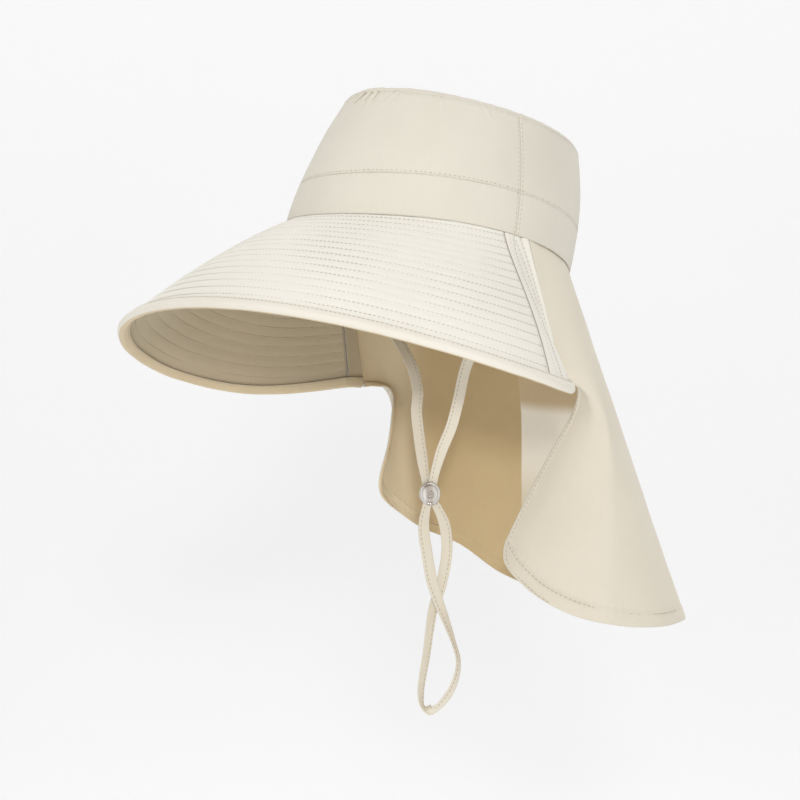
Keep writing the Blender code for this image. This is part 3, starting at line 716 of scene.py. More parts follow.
def make_wall(name, columns, rows, place, thickness, finish, stands_for, size, relief,
              inner_relief=None, inner_finish=None, welded=False, low_finish=None):
    """A cloth wall as one closed mesh, with its own relief on each face.

    place(u, v) gives the outer face with u round the hat and v upwards. relief and inner_relief
    take the grids of u, v and points and give how far each face stands out. size is the wall's
    width and height in metres, for the weave. low_finish covers the lower half of the outer face.
    """
    us = np.linspace(0, 1, columns + 1)
    vs = np.linspace(0, 1, rows + 1)
    points = np.array([[tuple(place(float(u), float(v))) for u in us] for v in vs])
    across = np.gradient(points, axis=1)
    if welded:
        across[:, 0] = across[:, -1] = (points[:, 1] - points[:, -2]) / 2
    upward = np.gradient(points, axis=0)
    if welded:
        across[-1] = across[-2]
    normal = np.cross(across, upward)
    normal /= np.maximum(np.linalg.norm(normal, axis=2, keepdims=True), 1e-12)
    grid_u, grid_v = np.meshgrid(us, vs)
    raised = relief(grid_u, grid_v, points)
    sunk = inner_relief(grid_u, grid_v, points) if inner_relief else -raised
    outer = points + normal * raised[..., None]
    inner = points - normal * (thickness + sunk)[..., None]

    wall = bmesh.new()
    maps = wall.loops.layers.uv.new("cloth")
    out_verts = [[wall.verts.new(point) for point in row] for row in outer]
    in_verts = [[wall.verts.new(point) for point in row] for row in inner]

    def face(corners, places, index):
        made = wall.faces.new(corners)
        made.material_index = index
        for loop, (column, row) in zip(made.loops, places):
            loop[maps].uv = (us[column] * size[0], vs[row] * size[1])

    inside = 1 if inner_finish else 0
    for row in range(rows):
        for column in range(columns):
            around = ((column, row), (column + 1, row), (column + 1, row + 1), (column, row + 1))
            low = low_finish and row < rows * LOW_SHARE
            face([out_verts[r][c] for c, r in around], around, 1 if low else 0)
            back = tuple(reversed(around))
            face([in_verts[r][c] for c, r in back], back, inside)
    rim = [(c, 0) for c in range(columns)] + [(columns, r) for r in range(rows)]
    rim += [(c, rows) for c in range(columns, 0, -1)] + [(0, r) for r in range(rows, 0, -1)]
    for (c0, r0), (c1, r1) in zip(rim, rim[1:] + rim[:1]):
        if welded and (c0 == c1 or r0 == rows):
            continue
        corners = [out_verts[r1][c1], out_verts[r0][c0], in_verts[r0][c0], in_verts[r1][c1]]
        face(corners, ((c1, r1), (c0, r0), (c0, r0), (c1, r1)), 0)
    if welded:
        bmesh.ops.remove_doubles(wall, verts=wall.verts, dist=0.00001)
    finishes = [cloth for cloth in (finish, inner_finish or low_finish) if cloth]
    item = add_shape(name, wall, *finishes)
    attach(item, "root")
    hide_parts(*stands_for)
    return item


crown_cotton = cloth_finish("crown_cotton", (0.725, 0.685, 0.59), (0.695, 0.655, 0.56))
# The crown's inner faces are the same cotton painted a darker, warmer tan: painted shade inside
# the crown.
crown_inside_shaded = cloth_finish("crown_inside_painted_shade", (0.60, 0.50, 0.35), (0.55, 0.45, 0.31))
crown_thread = thread_finish("crown_thread", (0.46, 0.39, 0.28))


def crown_panel(name, low, high, back, columns, rows, stands_for):
    """One panel between two seams, dipping at its edges and puckered beside the stitching."""
    gap_turn = math.degrees(SHOWN_GAP / 2 / TOP_HALF_LENGTH)

    def turn_at(u, along):
        seam = seam_turn(along)
        start = seam + gap_turn if back else gap_turn - seam
        end = 360 - seam - gap_turn if back else seam - gap_turn
        return start + (end - start) * u

    def place(u, v):
        turn = turn_at(u, low(0) + (high(0) - low(0)) * v)
        return crown_point(low(turn) + (high(turn) - low(turn)) * v, turn)

    width = PANEL_WIDTH
    height = (high(0) - low(0)) * WALL_HEIGHT

    def relief(u, v, points):
        from_side = np.minimum(u, 1 - u) * width
        from_low = v * height
        from_high = (1 - v) * height
        if high is under_tip:
            from_high = from_tip(low(0) + (high(0) - low(0)) * v)
        dip = sum(SEAM_DIP * (softly(distance, SEAM_SPREAD) - 1)
                  for distance in (from_side, from_low, from_high))
        ripple = np.sin(u * width / PUCKER_STEP * 2 * math.pi + 3 * np.sin(u * 37)) * PUCKER
        dip += ripple * (near(from_low, PUCKER_SPREAD) + near(from_high, PUCKER_SPREAD))
        swell = slow_waves(points, 0.045, 1.7) * 0.0006 + slow_waves(points, 0.016, 4.1) * 0.00022
        dip += swell * softly(from_side, 0.008) * softly(from_low, 0.006)
        if high is under_tip:
            turn = turn_at(u, 1.0)
            for pleat in PLEATS:
                beside = from_pleat(pleat, turn, from_high)
                fold = near(beside, 0.0013) - 0.8 * near(beside - 0.0026, 0.0013)
                dip += pleat.depth * fold * near(from_high, PLEAT_FADE)
        return dip
    make_wall(name, columns, rows, place, CROWN_CLOTH, crown_cotton, (stands_for,),
              (width, height), relief, inner_finish=crown_inside_shaded)


SEAM_SHARE = SHOWN_GAP / 2 / WALL_HEIGHT
SHOULDER_LENGTH = SHOULDER_RADIUS * math.radians(SHOULDER_END - SHOULDER_START)


def head_rim(turn):
    """The band's lower edge."""
    return 0


def under_seam(turn):
    """The band's upper edge."""
    return band_seam(turn) - SEAM_SHARE


def over_seam(turn):
    """The side panels' lower edge."""
    return band_seam(turn) + SEAM_SHARE


def under_tip(turn):
    """The side panels' upper edge."""
    return TIP_SEAM - SEAM_SHARE * 4


def from_tip(along):
    """How far below the tip seam a point of the side panels lies, in metres."""
    over = (TIP_SEAM - np.maximum(along, 1)) * SHOULDER_LENGTH
    return over + (1 - np.minimum(along, 1)) * WALL_HEIGHT


def wall_share(below):
    """The share of the wall's height, or of the shoulder, that lies so far below the tip seam."""
    over = (TIP_SEAM - 1) * SHOULDER_LENGTH
    if below < over:
        return TIP_SEAM - below / SHOULDER_LENGTH
    return 1 - (below - over) / WALL_HEIGHT


crown_panel("crown_front", over_seam, under_tip, False, 260, 60,
            "crown_side_front")
crown_panel("crown_back", over_seam, under_tip, True, 260, 60,
            "crown_side_back")
crown_panel("band_front", head_rim, under_seam, False, 240, 32,
            "crown_band_front")
crown_panel("band_back", head_rim, under_seam, True, 240, 32,
            "crown_band_back")

TIP_ROWS = 52
TIP_REACH = 0.085


def tip_place(u, v):
    """The tip from its seam on the wall, over the shoulder and in to the middle."""
    shares = (0.0, 0.16, 1.0)
    stops = (TIP_SEAM, 2.0, 3.0)
    return crown_point(float(np.interp(v, shares, stops)), 360 * u)


def tip_relief(u, v, points):
    """The tip's eased edge: small gathers that fade in towards the middle."""
    inwards = v * TIP_REACH
    turn = 360 * u
    dip = SEAM_DIP * (softly(inwards, SEAM_SPREAD) - 1)
    ripple = np.sin(turn * 0.9 + 4 * np.sin(np.radians(turn) * 3)) * 0.00022
    dip += ripple * near(inwards - 0.004, 0.007)
    for pleat in PLEATS:
        fold = near(from_pleat(pleat, turn, -inwards), 0.0015)
        dip += pleat.depth * fold * near(inwards, 0.010)
    return dip + slow_waves(points, 0.05, 2.9) * 0.0006 * softly(inwards, 0.012)


make_wall("crown_top", 330, TIP_ROWS, tip_place, CROWN_CLOTH, crown_cotton,
          ("crown_tip",), (0.50, TIP_REACH), tip_relief, inner_finish=crown_inside_shaded, welded=True)


STITCH_FROM_SEAM = 0.0016
CROWN_RADIUS = 0.088


def off_crown(along, turn, raised):
    """A point that stands off the crown's outer face."""
    point = crown_point(along, turn)
    beside = crown_point(along, turn + 0.5) - point
    above = crown_point(along + 0.01, turn) - point
    return point + beside.cross(above).normalized() * raised


def band_seam_line(raised):
    """A line of points round the crown, just over the band's seam."""
    turns = [360 * step / 480 for step in range(481)]
    return [off_crown(band_seam(turn) + STITCH_FROM_SEAM / WALL_HEIGHT, turn, raised)
            for turn in turns]


def side_seam_line(side, sideways, raised):
    """A line of points beside a side seam, from the head line up."""
    line = []
    for step in range(61):
        along = 0.02 + 0.95 * step / 60
        turn = side * (seam_turn(along) + math.degrees(sideways / CROWN_RADIUS))
        line.append(off_crown(along, turn, raised))
    return line


crown_rows = [band_seam_line(-0.00008)]
for side in (1, -1):
    for sideways in (STITCH_FROM_SEAM, -STITCH_FROM_SEAM):
        crown_rows.append(side_seam_line(side, sideways, -0.0001))
sew("crown_stitches", crown_rows, crown_thread, pitch=0.0031, length=0.0022,
    radius=0.00024)


FOLD_STEPS = 14
FOLD_TURN = 1.38
FOLD_FROM_SEAM = 0.0004


def pleat_shade_line(pleat):
    """A line of points down the folded edge of a pleat, from the tip seam, for a dark thread line
    laid there as painted shade in the pleat's groove.
    """
    line = []
    for step in range(FOLD_STEPS + 1):
        below = FOLD_FROM_SEAM + PLEAT_LENGTH * step / FOLD_STEPS
        turn = pleat.turn + pleat.slant * below / PLEAT_SLANT_OVER + FOLD_TURN
        sunk = 0.45 * pleat.depth * math.exp(-(below / PLEAT_FADE) ** 2)
        line.append(off_crown(wall_share(below), turn, -sunk))
    return line


# Dark lines of thread beads down the deeper pleats' folds: painted shade in their grooves.
sew("pleat_fold_painted_shade", [pleat_shade_line(pleat) for pleat in PLEATS if pleat.depth > 0.0006], crown_thread,
    pitch=0.0010, length=0.0016, radius=0.00032)


# Brim.
# Two layers of cotton on a stiffener, quilted together with parallel rows of stitching from the
# crown out to the edge, and sewn to the front of the band.
BRIM_WIDTH = 0.1195
BRIM_END_TURN = 84.0
BRIM_BELLY = 0.0060
BRIM_CLOTH = 0.0022
BRIM_STITCH_ROWS = 16
BRIM_FIRST_ROW = 0.035
BRIM_LAST_ROW = 0.925
QUILT_RISE = 0.00038
END_LINE_TURN = 80.4
END_LINE_SLANT = 22.0
END_LINE_CURVE = 4.0

# The brim from its middle to its end. Each row gives where it leaves the crown, in degrees,
# and how far its outer edge lies out, round towards the back and down, as shares of BRIM_WIDTH.
BrimRow = namedtuple("BrimRow", "turn out sweep drop")
BRIM_ROWS = (
    BrimRow(-14, 0.754, -0.130, 0.673),
    BrimRow(0, 0.748, 0.000, 0.660),
    BrimRow(14, 0.754, 0.130, 0.673),
    BrimRow(28, 0.765, 0.250, 0.708),
    BrimRow(42, 0.754, 0.351, 0.757),
    BrimRow(56, 0.674, 0.419, 0.792),
    BrimRow(70, 0.468, 0.440, 0.778),
    BrimRow(84, 0.062, 0.395, 0.668),
)


@lru_cache(maxsize=None)
def brim_rib(turn):
    """Where the brim leaves the crown at a turn, and its reach from there."""
    angle = math.radians(turn)
    start = head_line(turn, lower=SEAM_GAP)
    out = between(BRIM_ROWS, "turn", turn, "out")
    sweep = between(BRIM_ROWS, "turn", turn, "sweep")
    drop = between(BRIM_ROWS, "turn", turn, "drop")
    reach = Vector((out * math.sin(angle) + sweep * math.cos(angle),
                    sweep * math.sin(angle) - out * math.cos(angle),
                    -drop - start.z / BRIM_WIDTH))
    return start, reach


def brim_point(turn, share):
    """The brim's upper face, from the crown, 0, to its outer edge, 1, on either side."""
    start, reach = brim_rib(abs(turn))
    point = start + reach * BRIM_WIDTH * share
    point.z += BRIM_BELLY * 4 * share * (1 - share)
    if turn < 0:
        point.x = -point.x
    return lean_back(point)


def quilted(share):
    """Height of the cloth between the rows of stitching, 0 in a row and 1 between two."""
    spacing = (BRIM_LAST_ROW - BRIM_FIRST_ROW) / (BRIM_STITCH_ROWS - 1)
    phase = (share - BRIM_FIRST_ROW) / spacing
    return np.abs(np.sin(math.pi * phase)) ** 0.7


def end_line(share):
    """The turn where the brim's quilting stops, nearer the front towards the outer edge."""
    return END_LINE_TURN - END_LINE_SLANT * share + END_LINE_CURVE * share ** 2


def brim_top_relief(u, v, points):
    """The quilting of the upper face, which stops at a seam and leaves a plain end."""
    past = BRIM_END_TURN * np.abs(2 * u - 1) - end_line(1 - v)
    kept = 1 / (1 + np.exp(np.clip(past / 0.15, -50, 50)))
    seam = 0.0005 * near(past, 0.5) + 0.0003 * near(past - 4.6, 0.6)
    return brim_relief(u, v, points) * kept - seam


def brim_relief(u, v, points):
    """Rows of quilting, small creases and a slow swell that fades out at the brim's two ends."""
    puff = (quilted(1 - v) - 1) * QUILT_RISE
    puff += slow_waves(points, 0.006, 5.3) * 0.00012
    from_end = (1 - np.abs(2 * u - 1)) * 0.25
    return puff + slow_waves(points, 0.05, 0.6) * 0.0005 * softly(from_end, 0.01)


brim_cotton = cloth_finish("brim_cotton", (0.84, 0.81, 0.73), (0.81, 0.78, 0.70))
# The brim's under face is the same cotton painted dark tan: painted shade under the brim.
brim_under_shaded = cloth_finish("brim_under_painted_shade", (0.47, 0.39, 0.27), (0.44, 0.37, 0.25))
brim_thread = thread_finish("brim_thread", (0.60, 0.54, 0.44))
under_thread = thread_finish("under_thread", (0.50, 0.43, 0.31))
seam_thread = thread_finish("seam_thread", (0.34, 0.29, 0.22))
make_wall("brim_quilted", 420, 112, lambda u, v: brim_point(BRIM_END_TURN * (2 * u - 1), 1 - v),
          BRIM_CLOTH, brim_cotton, ("brim",), (0.46, 0.125),
          brim_top_relief, inner_relief=brim_relief, inner_finish=brim_under_shaded)


BRIM_LINE_STEPS = 300


def brim_line(share, depth, limit):
    """A line of points round the brim at one share of its width, sunk by depth."""
    line = []
    for step in range(1, BRIM_LINE_STEPS):
        turn = limit * (2 * step / BRIM_LINE_STEPS - 1)
        point = brim_point(turn, share)
        before = brim_point(max(turn - 0.4, -BRIM_END_TURN), share)
        beside = brim_point(min(turn + 0.4, BRIM_END_TURN), share) - before
        inwards = brim_point(turn, share - 0.02) - point
        line.append(point - beside.cross(inwards).normalized() * depth)
    return line


# The thread lies a little off the bottom of each quilted row, on both faces.
THREAD_OFF_ROW = 0.00012
row_shares = [BRIM_FIRST_ROW + (BRIM_LAST_ROW - BRIM_FIRST_ROW) * row / (BRIM_STITCH_ROWS - 1)
              for row in range(BRIM_STITCH_ROWS)]
top_rows = [brim_line(share, QUILT_RISE - THREAD_OFF_ROW, end_line(share) - 0.4)
            for share in row_shares]
under_rows = [brim_line(share, BRIM_CLOTH - QUILT_RISE + THREAD_OFF_ROW, BRIM_END_TURN)
              for share in row_shares]
sew("brim_stitches", top_rows, brim_thread, pitch=0.0029, length=0.0020,
    radius=0.00027)
sew("brim_under_stitches", under_rows, under_thread, pitch=0.0029, length=0.0020,
    radius=0.00025)


def end_seam(past, side):
    """A line of points down the brim's plain end, a few degrees past the quilting."""
    shares = [0.01 + 0.95 * step / 80 for step in range(81)]
    return [brim_point(side * (end_line(share) + past), share) - Vector((side * 0.0001, 0, 0))
            for share in shares]


sew("brim_end_seam", [end_seam(0.0, side) for side in (1, -1)], seam_thread,
    pitch=0.0010, length=0.0016, radius=0.00030)
sew("brim_end_stitches", [end_seam(past, side) for side in (1, -1) for past in (2.4, 4.6)],
    brim_thread, pitch=0.0029, length=0.0022, radius=0.00024)


def under_end_seam(side):
    """A line of points down the joint of the brim's end and its strip, on the under face."""
    line = []
    for step in range(81):
        share = 0.01 + 0.96 * step / 80
        point = brim_point(side * BRIM_END_TURN, share)
        inwards = brim_point(side * (BRIM_END_TURN - 0.5), share) - point
        down = brim_point(side * BRIM_END_TURN, share + 0.01) - point
        out = inwards.cross(down).normalized()
        line.append(point - out * math.copysign(BRIM_CLOTH - 0.0001, out.z))
    return line


sew("brim_under_end_seam", [under_end_seam(side) for side in (1, -1)], seam_thread,
    pitch=0.0010, length=0.0016, radius=0.00075)


# Brim end strips.
# A folded strip of the brim's cloth closes each end of the brim and joins it to the flap, with a
# narrow raised piping beside its back seam.
END_STRIP_TURN = 93.0
END_STRIP_WIDTH = 0.0105
END_STRIP_WAY = Vector((-0.30, 0.95, -0.05))
STRIP_TUCK = 0.0005
PIPING_RISE = 0.0012
PIPING_PLACE = 0.78
PIPING_SPREAD = 0.12


@lru_cache(maxsize=None)
def strip_point(across, share):
    """The left end strip, from the brim's end, 0, to the flap, 1, and from the crown down."""
    margin = -STRIP_TUCK / END_STRIP_WIDTH
    near = brim_point(BRIM_END_TURN, share)
    top = lean_back(head_line(END_STRIP_TURN, lower=SEAM_GAP))
    low = brim_point(BRIM_END_TURN, 1) + END_STRIP_WAY * END_STRIP_WIDTH
    far = top + (low - top) * share
    far.y -= BRIM_BELLY * share * (1 - share)
    far.z += BRIM_BELLY * 2 * share * (1 - share)
    return near + (far - near) * (margin + (1 - margin) * across)


def mirrored(point):
    """The same point on the hat's other side."""
    return Vector((-point.x, point.y, point.z))


def strip_relief(u, v, points):
    """The strip's piping, its two turned-in edges and a groove between."""
    across = u if points[0, 0, 0] > 0 else 1 - u
    ridge = PIPING_RISE * near(across - PIPING_PLACE, PIPING_SPREAD)
    ridge *= np.clip((v - 0.06) / 0.10, 0, 1)
    ridge -= 0.0007 * near(across * END_STRIP_WIDTH, 0.0007)
    ridge -= 0.0006 * near((1 - across) * END_STRIP_WIDTH, 0.0006)
    return ridge - 0.0006 * near(across - 0.52, 0.06)


def no_relief(u, v, points):
    """A face that follows its surface exactly."""
    return 0 * u


def left_strip(u, v):
    """The left end strip from the brim to the flap, 0 to 1, and from its tip up to the crown."""
    return strip_point(u, 1 - v)


def right_strip(u, v):
    """The right end strip as the left one's mirror image."""
    return mirrored(strip_point(1 - u, 1 - v))


# The strips' inner faces take the brim's painted under-shade.
for name, stands_for, place in (("end_strip_left", "brim_end_left", left_strip),
                                ("end_strip_right", "brim_end_right", right_strip)):
    make_wall(name, 30, 70, place, BRIM_CLOTH, brim_cotton, (stands_for,),
              (END_STRIP_WIDTH, 0.10), strip_relief, inner_relief=no_relief,
              inner_finish=brim_under_shaded)
strip_rows = []
for across in (0.12, 0.50):
    line = [strip_point(across, 0.02 + 0.92 * step / 60) for step in range(61)]
    line = [point + Vector((0.00008, 0, 0)) for point in line]
    strip_rows += [line, [mirrored(point) for point in line]]
sew("strip_stitches", strip_rows, brim_thread, pitch=0.0029, length=0.0020,
    radius=0.00022)


# Brim binding.
# A bias tape of the same cotton folded over the brim's outer edge from one end strip to the
# other and top-stitched through all layers.
BINDING_CLOTH = 0.0010
BINDING_LEG = 0.0046
BINDING_ON_STRIP = 0.90
FOLD_GAP = 0.0007
BINDING_STEP = 1 / 58
STRIP_PART = 5 * BINDING_STEP
BINDING_COLUMNS = 420
BINDING_ROWS = 36


@lru_cache(maxsize=None)
def rim(place, share):
    """A point on the brim and its end strips, from the right end round the front to the left."""
    if STRIP_PART <= place <= 1 - STRIP_PART:
        round_brim = 2 * (place - STRIP_PART) / (1 - 2 * STRIP_PART) - 1
        return brim_point(BRIM_END_TURN * round_brim, share)
    away = BINDING_ON_STRIP * (max(place, 1 - place) - (1 - STRIP_PART)) / STRIP_PART
    point = strip_point(away, share)
    return point if place >= 0.5 else mirrored(point)


@lru_cache(maxsize=None)
def binding_axes(u):
    """The brim's edge at a place, the way out of the cloth and the way across it."""
    edge = rim(u, 1)
    inside = rim(u, 0.8)
    after = rim(min(u + BINDING_STEP, 1), 1)
    along = (after - rim(max(u - BINDING_STEP, 0), 1)).normalized()
    out = edge - inside
    out = (out - along * out.dot(along)).normalized()
    return edge, out, out.cross(along).normalized()


def folded_over(u, fold, leg=BINDING_LEG, extra=0.0):
    """A point of the tape's outer face. fold runs from the under leg, 0, to the upper leg, 1."""
    edge, out, across = binding_axes(u)
    rounded = float(np.interp(min(u, 1 - u), (0, 0.003, 0.009), (0.6, 0.85, 1)))
    half = (BRIM_CLOTH / 2 + FOLD_GAP + BINDING_CLOTH) * rounded + extra
    middle = edge - across * BRIM_CLOTH / 2
    if fold < 0.3:
        return middle - across * half - out * leg * (1 - fold / 0.3)
    if fold > 0.7:
        return middle + across * half - out * leg * ((fold - 0.7) / 0.3)
    turn = math.pi * ((fold - 0.3) / 0.4 - 0.5)
    return middle + (across * math.sin(turn) + out * math.cos(turn)) * half


def binding_relief(u, v, points):
    """The tape is pulled in along its stitching and full round the fold."""
    legs = near(v - 0.05, 0.045) + near(v - 0.95, 0.045)
    sunk = -0.0004 * legs + 0.00012 * np.sin(v * math.pi)
    sunk += np.sin(u * 620 / 4.2 * 2 * math.pi) * 0.00007 * legs
    return sunk + slow_waves(points, 0.012, 8.8) * 0.00015


binding_cotton = cloth_finish("binding_cotton", (0.80, 0.76, 0.67), (0.77, 0.73, 0.63))
# The tape's under leg is the same cotton painted tan: painted shade under the brim's edge.
binding_under_shaded = cloth_finish("binding_under_painted_shade", (0.62, 0.51, 0.34), (0.58, 0.47, 0.31))
make_wall("brim_tape", BINDING_COLUMNS, BINDING_ROWS, folded_over, BINDING_CLOTH * 0.8,
          binding_cotton, ("brim_binding",), (0.72, 0.014), binding_relief,
          inner_relief=no_relief, low_finish=binding_under_shaded)
tape_rows = [[folded_over(0.004 + 0.992 * step / 420, fold, extra=-0.00022) for step in range(421)]
             for fold in (0.955, 0.045)]
sew("tape_stitches", tape_rows, brim_thread, pitch=0.0029, length=0.0021,
    radius=0.00024)


# Neck flap.
# One wide panel of thin cotton, cut in two halves with a centre-back seam, sewn to the back of
# the crown and to the end strips. It hangs from there, flares and ends in a stitched double hem.
FLAP_DROP = 0.2500
FLAP_FLARE = 0.0780
FLAP_TUCK = 0.0010
EDGE_DROP_LEFT = 0.1105
EDGE_DROP_RIGHT = 0.0640
STRIP_SHARE = 0.40
EDGE_SOFTENING = 0.22
FLAP_CLOTH = 0.0010
HEM_WIDTH = 0.0090
HEM_STITCH_BELOW = 0.0014
HEM_STEPS = 420
BACK_SEAM = 0.602
BACK_SEAM_SLANT = 0.05
FLAP_MAP = (0.42, 0.26)
FLAP_LENGTH = 0.225
FLAP_ROW_PLACES = (0, 0.26, 0.56, 0.93, 1)
FLAP_ROW_DOWN = (0, 0.40, 0.62, 0.955, 1)
# Where the inside's painted light and shade change, on the flap's UV map: the top edge of the
# painted brim shadow, the span of the painted shade towards the hem, and the span over which the
# inside lightens towards the far front edge.
PAINTED_BRIM_SHADOW_TOP = 0.197
PAINTED_HEM_SHADE_FADE = (0.075, 0.165)
FAR_EDGE_LIGHT_FADE = (0.79, 0.90)
CORNER_RADIUS_LEFT = 0.009
CORNER_RADIUS_RIGHT = 0.024
HEM_LENGTH = 0.50
EDGE_JOIN = 0.06

# The flap from its left front edge round to its right one. Each row gives the place along the
# flap, the turn where it leaves the crown, the turn, reach and drop of the hem below, as degrees
# and as shares of FLAP_FLARE and FLAP_DROP, and how much of the front edge's bend it takes.
FlapRow = namedtuple("FlapRow", "place seam hem reach drop bend")
FLAP_ROWS = (
    FlapRow(0.00, 93.0, 99.0, -0.340, 0.786, 1.00),
    FlapRow(0.04, 98.0, 97.0, -0.200, 0.842, 0.94),
    FlapRow(0.09, 104.0, 99.0, 0.020, 0.900, 0.82),
    FlapRow(0.15, 111.0, 104.0, 0.300, 0.944, 0.66),
    FlapRow(0.23, 121.0, 113.0, 0.560, 0.970, 0.40),
    FlapRow(0.32, 135.0, 127.0, 0.800, 0.980, 0.19),
    FlapRow(0.41, 154.0, 144.0, 0.980, 0.974, 0.05),
    FlapRow(0.50, 174.0, 166.0, 1.040, 0.972, 0.00),
    FlapRow(0.58, 192.0, 194.0, 1.000, 0.960, 0.00),
    FlapRow(0.66, 207.0, 209.0, 0.840, 0.890, 0.00),
    FlapRow(0.75, 222.0, 220.5, 0.630, 0.800, 0.04),
    FlapRow(0.83, 236.0, 231.5, 0.450, 0.752, 0.16),
    FlapRow(0.90, 248.0, 241.0, 0.300, 0.700, 0.38),
    FlapRow(0.95, 258.0, 248.0, 0.130, 0.655, 0.70),
    FlapRow(1.00, 267.0, 252.0, -0.130, 0.610, 1.00),
)

# The flap's free front edges, from the end strip round the corner and down to the hem, as shares
# of the edge's own drop: how far inwards, back and down each point lies from the strip's end.
EdgeRow = namedtuple("EdgeRow", "along inward back down")
EDGE_ROWS_LEFT = (
    EdgeRow(0.00, 0.000, 0.000, 0.000),
    EdgeRow(0.08, 0.020, 0.115, 0.015),
    EdgeRow(0.16, 0.070, 0.200, 0.055),
    EdgeRow(0.24, 0.110, 0.215, 0.150),
    EdgeRow(0.36, 0.145, 0.160, 0.280),
    EdgeRow(0.56, 0.215, 0.055, 0.500),
    EdgeRow(0.78, 0.270, -0.065, 0.745),
    EdgeRow(1.00, 0.350, -0.160, 1.000),
)
EDGE_ROWS_RIGHT = (
    EdgeRow(0.00, 0.000, 0.000, 0.000),
    EdgeRow(0.12, 0.020, 0.170, 0.010),
    EdgeRow(0.26, 0.060, 0.300, 0.050),
    EdgeRow(0.38, 0.110, 0.335, 0.140),
    EdgeRow(0.54, 0.160, 0.290, 0.290),
    EdgeRow(0.78, 0.240, 0.150, 0.680),
    EdgeRow(1.00, 0.290, -0.020, 1.000),
)


@lru_cache(maxsize=None)
def front_edge(side, down):
    """The flap's front boundary: along the end strip, round the corner and down the free edge."""
    gap = Vector((0, SHOWN_GAP, 0))
    if down <= STRIP_SHARE:
        point = strip_point(1, down / STRIP_SHARE) + gap
        return point if side > 0 else mirrored(point)
    rows = EDGE_ROWS_LEFT if side > 0 else EDGE_ROWS_RIGHT
    size = EDGE_DROP_LEFT if side > 0 else EDGE_DROP_RIGHT
    along = (down - STRIP_SHARE) / (1 - STRIP_SHARE)
    offset = Vector((-between(rows, "along", along, "inward"),
                     between(rows, "along", along, "back"),
                     -between(rows, "along", along, "down")))
    point = strip_point(1, 1) + gap + offset * size
    return point if side > 0 else mirrored(point)


@lru_cache(maxsize=None)
def flap_rib(place):
    """The top and the hem of the flap at a place along it, and its share of the edge's bend."""
    seam = between(FLAP_ROWS, "place", place, "seam")
    top = lean_back(head_line(seam, inset=FLAP_TUCK, lower=SEAM_GAP))
    hem = math.radians(between(FLAP_ROWS, "place", place, "hem"))
    reach = between(FLAP_ROWS, "place", place, "reach") * FLAP_FLARE
    below = head_line(math.degrees(hem))
    low = Vector((below.x + reach * math.sin(hem),
                  below.y - reach * math.cos(hem),
                  -between(FLAP_ROWS, "place", place, "drop") * FLAP_DROP))
    return top, low, between(FLAP_ROWS, "place", place, "bend")


def softened_edge(side, down, spread):
    """The front boundary with its corner rounded off, for cloth that lies away from it."""
    if spread < 0.002:
        return front_edge(side, down)
    total = Vector((0, 0, 0))
    for aside, weight in ((-1, 1), (-0.5, 2), (0, 3), (0.5, 2), (1, 1)):
        total += front_edge(side, round(min(max(down + aside * spread, 0), 1), 3)) * (weight / 9)
    return total


def ease_corner(place, down):
    """Bring a point near one of the hem's two corners on to the corner's rounding."""
    radius = CORNER_RADIUS_LEFT if place <= 0.5 else CORNER_RADIUS_RIGHT
    from_front = min(place, 1 - place) * HEM_LENGTH
    from_hem = (1 - down) * FLAP_LENGTH
    if from_front >= radius or from_hem >= radius:
        return place, down
    outwards = 1 - from_front / radius
    downwards = 1 - from_hem / radius
    from_front = radius * (1 - outwards * math.sqrt(1 - downwards ** 2 / 2)) / HEM_LENGTH
    from_hem = radius * (1 - downwards * math.sqrt(1 - outwards ** 2 / 2))
    return (from_front if place <= 0.5 else 1 - from_front), 1 - from_hem / FLAP_LENGTH


def hanging_point(place, down):
    """The flap's outer face by its ribs alone, before its two fronts meet their edges."""
    side = 1 if place <= 0.5 else -1
    top, low, bend = flap_rib(place)
    front_top = front_edge(side, 0)
    front_low = front_edge(side, 1)
    below_strip = max(0, (down - STRIP_SHARE) / (1 - STRIP_SHARE))
    point = top + (low - top) * down
    point.z += bend * (low.z - front_low.z) * (below_strip - down)
    spread = EDGE_SOFTENING * math.sqrt(max(1 - bend, 0)) * math.sin(math.pi * down)
    edge = softened_edge(side, down, spread)
    return point + bend * (edge - front_top - (front_low - front_top) * down)


def flap_point(place, down):
    """The flap's outer face, from the left front edge, 0, round the back to the right one, 1."""
    place, down = ease_corner(place, down)
    end = 0.0 if place <= 0.5 else 1.0
    point = hanging_point(place, down)
    from_end = abs(place - end) / EDGE_JOIN
    if from_end < 1:
        miss = front_edge(1 if place <= 0.5 else -1, down) - hanging_point(end, down)
        point = point + miss * (1 - from_end) ** 2 * (1 + 2 * from_end)
    return point


def flap_down(v):
    """How far down the flap a row lies. Rows crowd together at the bend and at the hem."""
    return np.interp(v, FLAP_ROW_PLACES, FLAP_ROW_DOWN)


